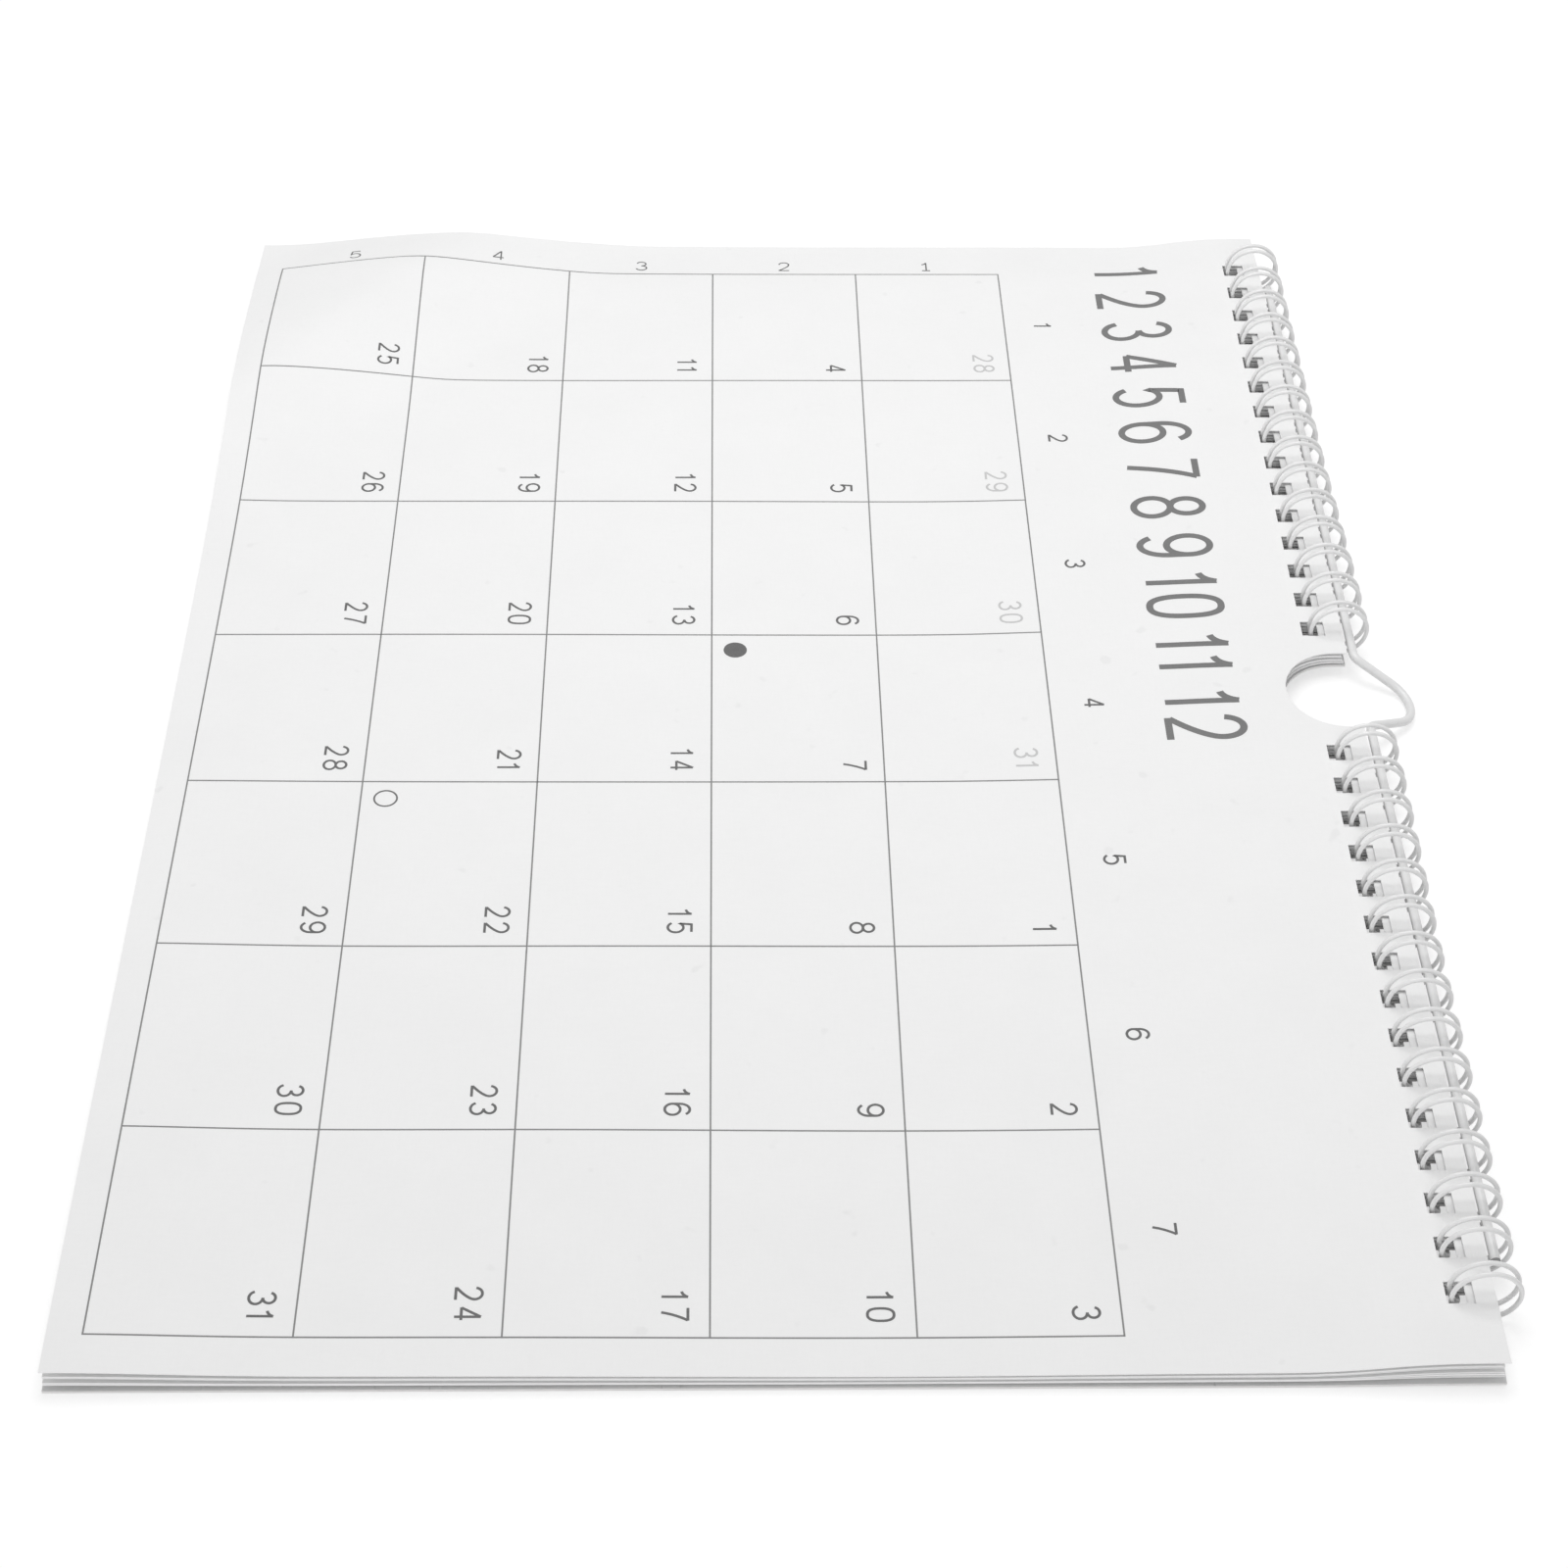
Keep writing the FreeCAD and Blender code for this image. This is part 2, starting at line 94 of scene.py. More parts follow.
class Nodes:
    """The node tree of a material or of the world, with short ways to add and join nodes."""

    def __init__(self, material: bpy.types.Material | bpy.types.World) -> None:
        """Start with an empty tree.

        Args:
            material: The new material, or the world, that the nodes belong to.
        """
        material.use_nodes = True
        self.material = material
        self.tree = material.node_tree
        self.tree.nodes.clear()

    def add(self, kind: str, inputs: dict[str | int, object] | None = None,
            **settings: object) -> bpy.types.Node:
        """Add a node.

        Args:
            kind: Node type without its ShaderNode prefix.
            inputs: Values or output sockets for its inputs, by name or number.
            settings: Properties of the node.

        Returns:
            The new node.
        """
        node = self.tree.nodes.new("ShaderNode" + kind)
        for key, value in settings.items():
            setattr(node, key, value)
        for key, value in (inputs or {}).items():
            if isinstance(value, Socket):
                self.tree.links.new(value, node.inputs[key])
            else:
                node.inputs[key].default_value = value
        return node

    def place(self) -> Socket:
        """Coordinates of the piece itself, in metres."""
        return self.add("TexCoord").outputs["Object"]

    def part(self, vector: Socket, axis: str) -> Socket:
        """One coordinate of a vector, without its sign."""
        value = self.add("SeparateXYZ", {0: vector}).outputs[axis]
        return self.add("Math", {0: value}, operation="ABSOLUTE").outputs[0]

    def joined(self, operation: str, first: Socket, second: Socket) -> Socket:
        """Two values joined by an operation of the Math node."""
        return self.add("Math", {0: first, 1: second}, operation=operation).outputs[0]

    def watched(self) -> Socket:
        """Tell what is seen from what only lights: the greatest of three kinds of ray.

        Returns:
            1 for rays from the camera, a gloss or a clear surface, otherwise 0.
        """
        rays = self.add("LightPath").outputs
        seen = self.joined("MAXIMUM", rays["Is Camera Ray"], rays["Is Glossy Ray"])
        return self.joined("MAXIMUM", seen, rays["Is Transmission Ray"])

    def noise(self, place: Socket, scale: float, detail: float = 3.0,
              roughness: float = 0.5) -> Socket:
        """Fractal noise from 0 to 1, with scale in waves to the metre."""
        node = self.add("TexNoise", {"Vector": place, "Scale": scale, "Detail": detail,
                                     "Roughness": roughness})
        return node.outputs["Fac"]

    def stretched(self, place: Socket, scale: tuple[float, float, float],
                  turn: float = 0.0) -> Socket:
        """Coordinates scaled along each axis after a turn about Z, for a drawn-out pattern."""
        node = self.add("Mapping", {"Vector": place, "Scale": scale, "Rotation": (0, 0, turn)})
        return node.outputs["Vector"]

    def ramp(self, value: Socket, low: float, high: float, to_low: float = 0.0,
             to_high: float = 1.0) -> Socket:
        """Straight ramp of a value from one range to another, clamped."""
        node = self.add("MapRange", {"Value": value, "From Min": low, "From Max": high,
                                     "To Min": to_low, "To Max": to_high}, clamp=True)
        return node.outputs["Result"]

    def blend(self, amount: Socket, first: Color | Socket, second: Color | Socket) -> Socket:
        """Colour between two colours."""
        return self.add("Mix", {0: amount, 6: first, 7: second}, data_type="RGBA").outputs[2]

    def bump(self, height: Socket, depth: float, under: Socket | None = None) -> Socket:
        """Normal of a surface with a relief.

        Args:
            height: Height of the relief, from 0 to 1.
            depth: Height in metres that 1 stands for.
            under: Normal of a coarser relief that carries this one.

        Returns:
            The normal.
        """
        inputs: dict[str | int, object] = {"Height": height, "Distance": depth, "Strength": 1.0}
        if under is not None:
            inputs["Normal"] = under
        return self.add("Bump", inputs).outputs["Normal"]

    def finish(self, **inputs: object) -> bpy.types.Material:
        """Close the tree with a principled surface.

        Args:
            inputs: Values or sockets for its inputs, with underscores for the spaces in names.

        Returns:
            The finished material.
        """
        named = {key.replace("_", " "): value for key, value in inputs.items()}
        surface = self.add("BsdfPrincipled", named)
        self.add("OutputMaterial", {"Surface": surface.outputs[0]})
        return self.material


def material_nodes(name: str) -> Nodes:
    """Node tree of a new material."""
    return Nodes(bpy.data.materials.new(name))


@dataclass(frozen=True)
class PaperFinish:
    """Matt uncoated white paper: faint clouds of formation, fine fibres and a felt mark."""

    tone: Color = grey(0.93)
    cloud_tone: Color = grey(0.912)
    felt_tone: Color = grey(0.86)
    fleck_tone: Color = grey(0.62)
    clouds_per_metre: float = 70.0
    fibres_per_metre: float = 2700.0
    cross_fibres_per_metre: float = 2160.0
    cockles_per_metre: float = 22.0
    flecks_per_metre: float = 260.0
    fibre_depth: float = 0.000035
    cockle_depth: float = 0.0006
    roughness: float = 0.66

    def material(self) -> bpy.types.Material:
        """Make the finish of a sheet's faces.

        Returns:
            The material.
        """
        n = material_nodes("paper")
        place = n.place()
        clouds = n.ramp(n.noise(place, self.clouds_per_metre, 5.0, 0.6), 0.3, 0.7)
        along = n.noise(n.stretched(place, (0.16, 1, 1), 0.35), self.fibres_per_metre, 4.0)
        across = n.noise(n.stretched(place, (1, 0.2, 1), -0.5), self.cross_fibres_per_metre, 4.0)
        felt = n.joined("MULTIPLY", along, across)
        cockle = n.noise(place, self.cockles_per_metre, 2.0, 0.4)
        fleck = n.ramp(n.noise(place, self.flecks_per_metre, 2.0, 0.3), 0.735, 0.79)
        color = n.blend(clouds, self.tone, self.cloud_tone)
        color = n.blend(n.ramp(felt, 0.16, 0.36, 0.0, 0.14), color, self.felt_tone)
        color = n.blend(n.ramp(fleck, 0.0, 1.0, 0.0, 0.16), color, self.fleck_tone)
        normal = n.bump(felt, self.fibre_depth, n.bump(cockle, self.cockle_depth))
        return n.finish(Base_Color=color, Roughness=self.roughness, Specular_IOR_Level=0.28,
                        Normal=normal)


@dataclass(frozen=True)
class CutEdgeFinish:
    """The cut edge of a sheet, with the pull of the blade in patches."""

    tone: Color = grey(0.965)
    drag_tone: Color = grey(0.84)
    drags_per_metre: float = 1500.0
    patches_per_metre: float = 45.0
    drag_depth: float = 0.00002
    roughness: float = 0.8

    def material(self) -> bpy.types.Material:
        """Make the finish of a sheet's walls.

        Returns:
            The material.
        """
        n = material_nodes("paper_edge")
        place = n.place()
        drag = n.noise(n.stretched(place, (1, 1, 0.08)), self.drags_per_metre, 4.0, 0.6)
        drag = n.ramp(drag, 0.4, 0.75)
        patches = n.ramp(n.noise(place, self.patches_per_metre, 3.0), 0.35, 0.7, 0.0, 0.55)
        color = n.blend(n.joined("MULTIPLY", drag, patches), self.tone, self.drag_tone)
        return n.finish(Base_Color=color, Roughness=self.roughness, Specular_IOR_Level=0.2,
                        Normal=n.bump(drag, self.drag_depth))


@dataclass(frozen=True)
class BoardFinish:
    """White-lined board: a smooth liner with grey flecks, and plies that show at its edges."""

    liner: Color = grey(0.80)
    liner_cloud: Color = grey(0.745)
    core: Color = grey(0.78, 0.01)
    core_ply: Color = grey(0.88, 0.01)
    fleck: Color = grey(0.42)
    clouds_per_metre: float = 55.0
    flecks_per_metre: float = 950.0
    plies_per_metre: float = 9000.0
    fibres_per_metre: float = 2600.0
    fibre_depth: float = 0.00004
    roughness: float = 0.72

    def material(self) -> bpy.types.Material:
        """Make the finish: liner on the flat faces, core on the walls, by the face's lean.

        Returns:
            The material.
        """
        n = material_nodes("board")
        place = n.place()
        clouds = n.ramp(n.noise(place, self.clouds_per_metre, 5.0, 0.6), 0.3, 0.7)
        flecks = n.noise(n.stretched(place, (0.35, 1, 1), 0.4), self.flecks_per_metre, 2.0, 0.4)
        flecks = n.ramp(flecks, 0.70, 0.78, 0.0, 0.5)
        liner = n.blend(flecks, n.blend(clouds, self.liner, self.liner_cloud), self.fleck)
        plies = n.noise(n.stretched(place, (0.03, 0.03, 1)), self.plies_per_metre, 2.0)
        core = n.blend(n.ramp(plies, 0.35, 0.65), self.core, self.core_ply)
        flat = n.part(n.add("TexCoord").outputs["Normal"], "Z")
        color = n.blend(n.ramp(flat, 0.45, 0.55), core, liner)
        fibres = n.noise(n.stretched(place, (0.2, 1, 1), 0.3), self.fibres_per_metre, 4.0)
        return n.finish(Base_Color=color, Roughness=self.roughness, Specular_IOR_Level=0.25,
                        Normal=n.bump(fibres, self.fibre_depth))


@dataclass(frozen=True)
class CoatedWireFinish:
    """Steel wire with a thin satin coat: orange peel, faint handling marks, steel cut ends."""

    name: str
    coat: Color = grey(0.83)
    rubbed: Color = grey(0.66)
    steel: Color = grey(0.22)
    roughness: float = 0.34
    rubbed_roughness: float = 0.54
    peel_per_metre: float = 1500.0
    peel_depth: float = 0.000018
    marks_per_metre: float = 700.0
    cut_beyond: float = 1.0
    cut_blur: float = 0.00002

    def material(self) -> bpy.types.Material:
        """Make the finish: the coat, and bare steel beyond a distance from the middle along X.

        Returns:
            The material.
        """
        n = material_nodes(self.name)
        place = n.place()
        peel = n.noise(place, self.peel_per_metre, 3.0, 0.5)
        marks = n.noise(n.stretched(place, (1, 0.3, 0.3)), self.marks_per_metre, 4.0, 0.6)
        marks = n.ramp(marks, 0.60, 0.80)
        color = n.blend(n.ramp(marks, 0.0, 1.0, 0.0, 0.55), self.coat, self.rubbed)
        cut = n.ramp(n.part(place, "X"), self.cut_beyond - self.cut_blur, self.cut_beyond)
        color = n.blend(cut, color, self.steel)
        rough = n.ramp(marks, 0.0, 1.0, self.roughness, self.rubbed_roughness)
        return n.finish(Base_Color=color, Roughness=rough, Metallic=cut,
                        Specular_IOR_Level=0.5, Coat_Weight=0.25, Coat_Roughness=0.2,
                        Normal=n.bump(peel, self.peel_depth))


@dataclass(frozen=True)
class InkFinish:
    """Matt print ink: an even tone broken by the paper's fibres."""

    name: str
    tone: Color
    thin_tone: Color
    spots_per_metre: float = 5200.0
    clouds_per_metre: float = 120.0
    depth: float = 0.000012
    roughness: float = 0.55

    def material(self) -> bpy.types.Material:
        """Make the finish: a skin of ink, thinner where the fibres stand up.

        Returns:
            The material.
        """
        n = material_nodes(self.name)
        place = n.place()
        spots = n.ramp(n.noise(place, self.spots_per_metre, 3.0, 0.7), 0.45, 0.75, 0.0, 0.7)
        clouds = n.ramp(n.noise(place, self.clouds_per_metre, 3.0), 0.3, 0.7, 0.0, 0.25)
        color = n.blend(n.joined("ADD", spots, clouds), self.tone, self.thin_tone)
        return n.finish(Base_Color=color, Roughness=self.roughness, Specular_IOR_Level=0.3,
                        Normal=n.bump(spots, self.depth))


class Ink(Enum):
    """The inks of a month sheet, in the order of their material slots."""

    TITLE = InkFinish("ink_title", grey(0.17), grey(0.24))
    DATE = InkFinish("ink_date", grey(0.12), grey(0.19))
    PALE = InkFinish("ink_pale", grey(0.56), grey(0.66))
    LINE = InkFinish("ink_line", grey(0.22), grey(0.32))

    @property
    def index(self) -> int:
        """Number of the material slot."""
        return list(Ink).index(self)


# Meshes

@dataclass
class Surface:
    """Points and faces of a mesh under way, in millimetres."""

    points: Array
    faces: Array
    smooth: Array
    slots: Array

    @staticmethod
    def joined(parts: Iterable["Surface"]) -> "Surface":
        """Several surfaces as one, with their face numbers moved on.

        Args:
            parts: The surfaces.

        Returns:
            One surface that holds them all.
        """
        parts = list(parts)
        starts = np.cumsum([0] + [len(part.points) for part in parts[:-1]])
        return Surface(np.concatenate([part.points for part in parts]),
                       np.concatenate([part.faces + start for part, start in zip(parts, starts)]),
                       np.concatenate([part.smooth for part in parts]),
                       np.concatenate([part.slots for part in parts]))

    def piece(self, name: str, materials: list[bpy.types.Material]) -> bpy.types.Object:
        """Put the surface into the scene.

        Args:
            name: Name of the object.
            materials: Its materials, in the order of the face slots.

        Returns:
            The new object, at the origin, with its place in its mesh.
        """
        mesh = bpy.data.meshes.new(name)
        mesh.from_pydata((self.points * MM).tolist(), [], self.faces.tolist())
        mesh.polygons.foreach_set("use_smooth", self.smooth)
        mesh.polygons.foreach_set("material_index", self.slots.astype(np.int32))
        for material in materials:
            mesh.materials.append(material)
        mesh.update()
        mesh.set_sharp_from_angle(angle=math.radians(SHARP_ANGLE))
        piece = bpy.data.objects.new(name, mesh)
        bpy.context.scene.collection.objects.link(piece)
        log.info("%s: %d faces", name, len(self.faces))
        return piece


def closed_shell(top: Array, bottom: Array, paper: Array) -> Surface:
    """Closed shell of a sheet between two grids of points.

    Each cell with paper gives a face on top, the same face turned over below, and a wall on
    every side where the next cell has none.

    Args:
        top: Points of the upper side, rows by columns by 3, with X rising along the columns
            and Y along the rows.
        bottom: Points of the underside, in the same order.
        paper: Which cells are paper, one row and one column fewer.

    Returns:
        The shell, with slot 0 on its faces and slot 1 on its walls.
    """
    rows, columns = top.shape[:2]
    number = np.arange(rows * columns).reshape(rows, columns)
    under = number + rows * columns
    near_left, near_right = number[:-1, :-1], number[:-1, 1:]
    far_left, far_right = number[1:, :-1], number[1:, 1:]
    low_left, low_right = under[:-1, :-1], under[:-1, 1:]
    low_far_left, low_far_right = under[1:, :-1], under[1:, 1:]
    around = np.pad(paper, 1)

    def quads(corners: tuple[Array, ...], where: Array) -> Array:
        """Four-cornered faces of the cells where a test holds."""
        return np.stack([corner[where] for corner in corners], axis=-1)

    flats = [
        quads((near_left, near_right, far_right, far_left), paper),
        quads((low_left, low_far_left, low_far_right, low_right), paper),
    ]
    walls = [
        quads((low_left, low_right, near_right, near_left), paper & ~around[:-2, 1:-1]),
        quads((low_far_right, low_far_left, far_left, far_right), paper & ~around[2:, 1:-1]),
        quads((low_far_left, low_left, near_left, far_left), paper & ~around[1:-1, :-2]),
        quads((low_right, low_far_right, far_right, near_right), paper & ~around[1:-1, 2:]),
    ]
    faces = np.concatenate(flats + walls)
    flat_count = sum(map(len, flats))
    is_wall = np.arange(len(faces)) >= flat_count
    used, faces = np.unique(faces, return_inverse=True)
    points = np.concatenate([top.reshape(-1, 3), bottom.reshape(-1, 3)])[used]
    return Surface(points, faces.reshape(-1, 4), ~is_wall, is_wall.astype(int))


def tube(path: Array, normals: Array, radius: float, sides: int = 12) -> Surface:
    """Closed round tube along a path.

    Each point of the path gives a ring: the point plus the radius times the cosine and sine of
    even angles along the given normal and the binormal, tangent cross normal.

    Args:
        path: Points along the middle of the tube.
        normals: A unit vector across the path at each point, turning smoothly along it.
        radius: Radius of the tube.
        sides: Points round each ring, an even number.

    Returns:
        The tube with flat ends, all in slot 0.
    """
    tangents = np.gradient(path, axis=0)
    tangents /= np.linalg.norm(tangents, axis=1)[:, None]
    binormals = np.cross(tangents, normals)
    binormals /= np.linalg.norm(binormals, axis=1)[:, None]
    angles = 2 * np.pi * np.arange(sides)[:, None] / sides
    across = np.cross(binormals, tangents)
    spokes = np.cos(angles) * across[:, None] + np.sin(angles) * binormals[:, None]
    rings = path[:, None] + radius * spokes
    corner = np.arange(sides)
    following = (corner + 1) % sides
    here = np.arange(len(path) - 1)[:, None] * sides
    there = here + sides
    walls = np.stack([here + corner, here + following, there + following, there + corner],
                     axis=-1).reshape(-1, 4)
    rung = np.arange(sides // 2 - 1)
    cap = np.stack([rung, rung + 1, sides - 2 - rung, sides - 1 - rung], axis=-1)
    faces = np.concatenate([walls, cap[:, ::-1], cap + (len(path) - 1) * sides])
    return Surface(rings.reshape(-1, 3), faces, np.ones(len(faces), bool),
                   np.zeros(len(faces), int))


# Sheets

@dataclass(frozen=True)
class Hill:
    """A soft hill along one axis, with its height, middle and width."""

    height: float
    middle: float
    width: float

    def over(self, value: Array) -> Array:
        """Height at a place: the hill's height times a bell curve about its middle."""
        return self.height * bell(value, self.middle, self.width)


@dataclass(frozen=True)
class Relief:
    """Heights of the stack: its rise to the binding and the swell of the sheets."""

    half_width: float = HALF_WIDTH
    past_edge: float = 1.0

    # The rise to the binding, and how it comes later and falls beside the last loops.
    rise_start: float = 49.396
    rise_end: float = 89.396
    rise_height: float = 2.0
    late_start: float = 17.0
    late_end: float = 7.0
    late_from: float = 95.0
    last_loop: float = 138.6
    corner_fall: float = 0.85

    # The folded corner.
    ridge_point: tuple[float, float] = (-136.7, -75.3)
    ridge_normal: tuple[float, float] = (0.602, 0.798)
    ridge_height: float = 4.7
    ridge_round: float = 4.0
    ridge_reach: float = 25.0
    ridge_foot: float = 0.02
    ridge_middle: float = 18.0
    ridge_length: float = 55.0

    # The rest of the swell.
    dome: Hill = Hill(0.6, -85.0, 35.0)
    dome_fade: float = 0.5
    dome_fade_from: float = 20.0
    dome_fade_to: float = 80.0
    belt: Hill = Hill(0.9, 53.6, 18.0)
    belt_middle: float = -27.0
    belt_length: float = 70.0
    wave: Hill = Hill(1.25, -112.0, 24.0)
    wave_dip: Hill = Hill(0.52, 14.0, 40.0)
    wave_from: float = -30.0
    wave_to: float = 120.0
    ripple_height: float = 0.12
    ripple_lengths: tuple[float, float, float] = (23.0, 61.0, 31.0)
    ripple_start: float = 0.6
    held_from: float = 74.0
    held_to: float = 89.0
    edge_droop: float = 0.95
    droop_to: float = -131.0
    droop_fade: float = 0.45
    droop_fade_from: float = 70.0
    droop_fade_to: float = 92.0

    def rise(self, x: Array, y: Array) -> Array:
        """Rise to the binding.

        It is two equal tangent arcs, one centred above and one below, that start and end later
        towards the left and right edges.

        Args:
            x: X of the places.
            y: Y of the places.

        Returns:
            The heights.
        """
        late = smooth_step(np.abs(x), self.late_from, self.half_width)
        start = self.rise_start + self.late_start * late
        end = self.rise_end + self.late_end * late
        run = end - start
        angle = 2 * np.arctan(self.rise_height / run)
        radius = run / (2 * np.sin(angle))
        from_start = np.clip(y - start, 0.0, run / 2)
        to_end = np.clip(end - y, 0.0, run / 2)
        low = radius - np.sqrt(radius ** 2 - from_start ** 2)
        high = self.rise_height - radius + np.sqrt(radius ** 2 - to_end ** 2)
        return np.where(y < start + run / 2, low, high)

    def fall(self, x: Array, y: Array) -> Array:
        """How far the free corners beside the last loops hang down: a share of the rise."""
        beyond = smooth_step(np.abs(x), self.last_loop, self.half_width + self.past_edge)
        return self.corner_fall * beyond * self.rise(x, y)

    def ridge(self, x: Array, y: Array) -> Array:
        """Soft fold across the bottom left corner.

        It falls by its reach on both sides of its line as a rounded tent, and runs out flat:
        half of the tent plus the root of its square and a small foot.

        Args:
            x: X of the places.
            y: Y of the places.

        Returns:
            The heights.
        """
        across = (x - self.ridge_point[0]) * self.ridge_normal[0] \
            + (y - self.ridge_point[1]) * self.ridge_normal[1]
        off = np.sqrt(across ** 2 + self.ridge_round ** 2) - self.ridge_round
        tent = 1 - off / self.ridge_reach
        flat_out = 0.5 * (tent + np.sqrt(tent ** 2 + self.ridge_foot))
        along = (x - self.ridge_point[0]) * self.ridge_normal[1] \
            - (y - self.ridge_point[1]) * self.ridge_normal[0]
        return self.ridge_height * flat_out * bell(along, self.ridge_middle, self.ridge_length)

    def swell(self, x: Array, y: Array) -> Array:
        """Height of the front sheet over its flat lie.

        It is the sum of the folded corner, a broad dome on the left, a raised belt before the
        binding, a wave along the right edge and a slight ripple of sines, all fading out where
        the binding holds the sheets, less the droop of the left edge.

        Args:
            x: X of the places.
            y: Y of the places.

        Returns:
            The heights.
        """
        dome = self.dome.over(x) \
            * (1 - self.dome_fade * smooth_step(y, self.dome_fade_from, self.dome_fade_to))
        belt = self.belt.over(y) * bell(x, self.belt_middle, self.belt_length)
        right = smooth_step(x, self.wave_from, self.wave_to)
        wave = self.wave.over(y) - self.wave_dip.over(y)
        long_x, long_y, short_y = self.ripple_lengths
        ripple = self.ripple_height * np.sin(x / long_x + y / long_y) \
            * np.sin(y / short_y + self.ripple_start)
        held = 1 - smooth_step(y, self.held_from, self.held_to)
        edge = 1 - smooth_step(x, -self.half_width - self.past_edge, self.droop_to)
        droop = self.edge_droop * edge \
            * (1 - self.droop_fade * smooth_step(y, self.droop_fade_from, self.droop_fade_to))
        return held * (self.ridge(x, y) + dome + belt + right * wave + ripple) - droop


@dataclass(frozen=True)
class SheetCut:
    """Outline, holes and notch of one sheet, and the spacing of the lines that divide it."""

    left: float = -HALF_WIDTH
    right: float = HALF_WIDTH
    bottom: float = -110.604
    top: float = 99.396
    column_step: float = 4.0
    row_step: float = 4.0
    step_slack: float = 0.05
    notch_lines: int = 17
    hole_width: float = 4.0
    hole_from: float = 91.996
    hole_to: float = 96.193
    notch_radius: float = 10.003
    notch_centre: float = 96.999
    notch_pull_from: float = 76.0
    same_row: float = 1e-6

    def holes(self) -> Array:
        """X of every hole's middle, from left to right."""
        side = FIRST_LOOP + LOOP_PITCH * np.arange(LOOPS_PER_SIDE)
        return np.concatenate([-side[::-1], side])

    def filled(self, fixed: Array, step: float) -> Array:
        """Lines with even ones between, no further apart than a step.

        Args:
            fixed: The lines that have to be there, in rising order.
            step: Largest distance between two lines.

        Returns:
            All the lines.
        """
        runs = [np.linspace(a, b, max(1, math.ceil((b - a) / step - self.step_slack)),
                            endpoint=False) for a, b in zip(fixed[:-1], fixed[1:])]
        return np.concatenate(runs + [fixed[-1:]])

    def columns(self) -> Array:
        """Lines along Y: edges, hole sides, and lines at even angles round the notch.

        Returns:
            X of the lines.
        """
        sides = self.holes()[:, None] + np.array([-0.5, 0.5]) * self.hole_width
        notch = self.notch_radius * np.sin(np.linspace(-np.pi / 2, np.pi / 2, self.notch_lines))
        fixed = np.concatenate([[self.left, self.right], sides.ravel(), notch])
        return self.filled(np.unique(np.round(fixed, 4)), self.column_step)

    def rows(self) -> Array:
        """Y of the lines: edges, hole ends, and the notch's widest place."""
        fixed = [self.bottom, self.notch_pull_from, self.hole_from, self.hole_to,
                 self.notch_centre, self.top]
        return self.filled(np.array(fixed), self.row_step)

    def grid(self) -> tuple[Array, Array, Array]:
        """Lines of the sheet.

        Within the notch's width the rows are pulled together, so that the row at its widest
        place lies on its round end.

        Returns:
            X and Y of every crossing, and which cells are paper.
        """
        columns, rows = self.columns(), self.rows()
        x, y = np.meshgrid(columns, rows)
        round_end = self.notch_centre - np.sqrt(np.clip(self.notch_radius ** 2 - x ** 2, 0, None))
        pull = (round_end - self.notch_pull_from) / (self.notch_centre - self.notch_pull_from)
        pulled = self.notch_pull_from + (y - self.notch_pull_from) * pull
        moves = (y > self.notch_pull_from) & (y < self.notch_centre + self.same_row)
        y = np.where(moves, pulled, y)
        middle_x = (columns[:-1] + columns[1:]) / 2
        middle_y = (rows[:-1] + rows[1:]) / 2
        from_hole = np.abs(middle_x[:, None] - self.holes()).min(axis=1)
        in_hole = (from_hole < self.hole_width / 2)[None, :] \
            & ((middle_y > self.hole_from) & (middle_y < self.hole_to))[:, None]
        in_notch = (np.abs(middle_x) < self.notch_radius)[None, :] \
            & (middle_y > self.notch_centre)[:, None]
        return x, y, ~(in_hole | in_notch)

    def shell(self, underside: Callable[[Array, Array], Array], thickness: float) -> Surface:
        """Closed sheet of an even thickness.

        Args:
            underside: Height of its underside over X and Y.
            thickness: Thickness of the sheet, straight up.

        Returns:
            The sheet, with slot 0 on its faces and slot 1 on its walls.
        """
        x, y, paper = self.grid()
        z = underside(x, y)
        return closed_shell(np.dstack([x, y, z + thickness]), np.dstack([x, y, z]), paper)


@dataclass
class FrontSheet:
    """The month sheet that lies on top."""

    relief: Relief
    paper: list[bpy.types.Material]
    bottom_level: float = 3.0
    thickness: float = 0.2
    cut: SheetCut = SheetCut(right=148.2, column_step=2.2, row_step=2.0, notch_lines=41)

    def top(self, x: Array, y: Array) -> Array:
        """Height of its printed face."""
        return self.underside(x, y) + self.thickness

    def underside(self, x: Array, y: Array) -> Array:
        """Height of its back: its level, the rise to the binding and the swell, added up."""
        return self.bottom_level + self.relief.rise(x, y) + self.relief.swell(x, y)

    def build(self) -> None:
        """Make the sheet in place of its CAD solid."""
        sheet = self.cut.shell(self.underside, self.thickness)
        piece = sheet.piece("front_sheet_page", self.paper)
        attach(piece, "turning_sheet")
        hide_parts("front_sheet")


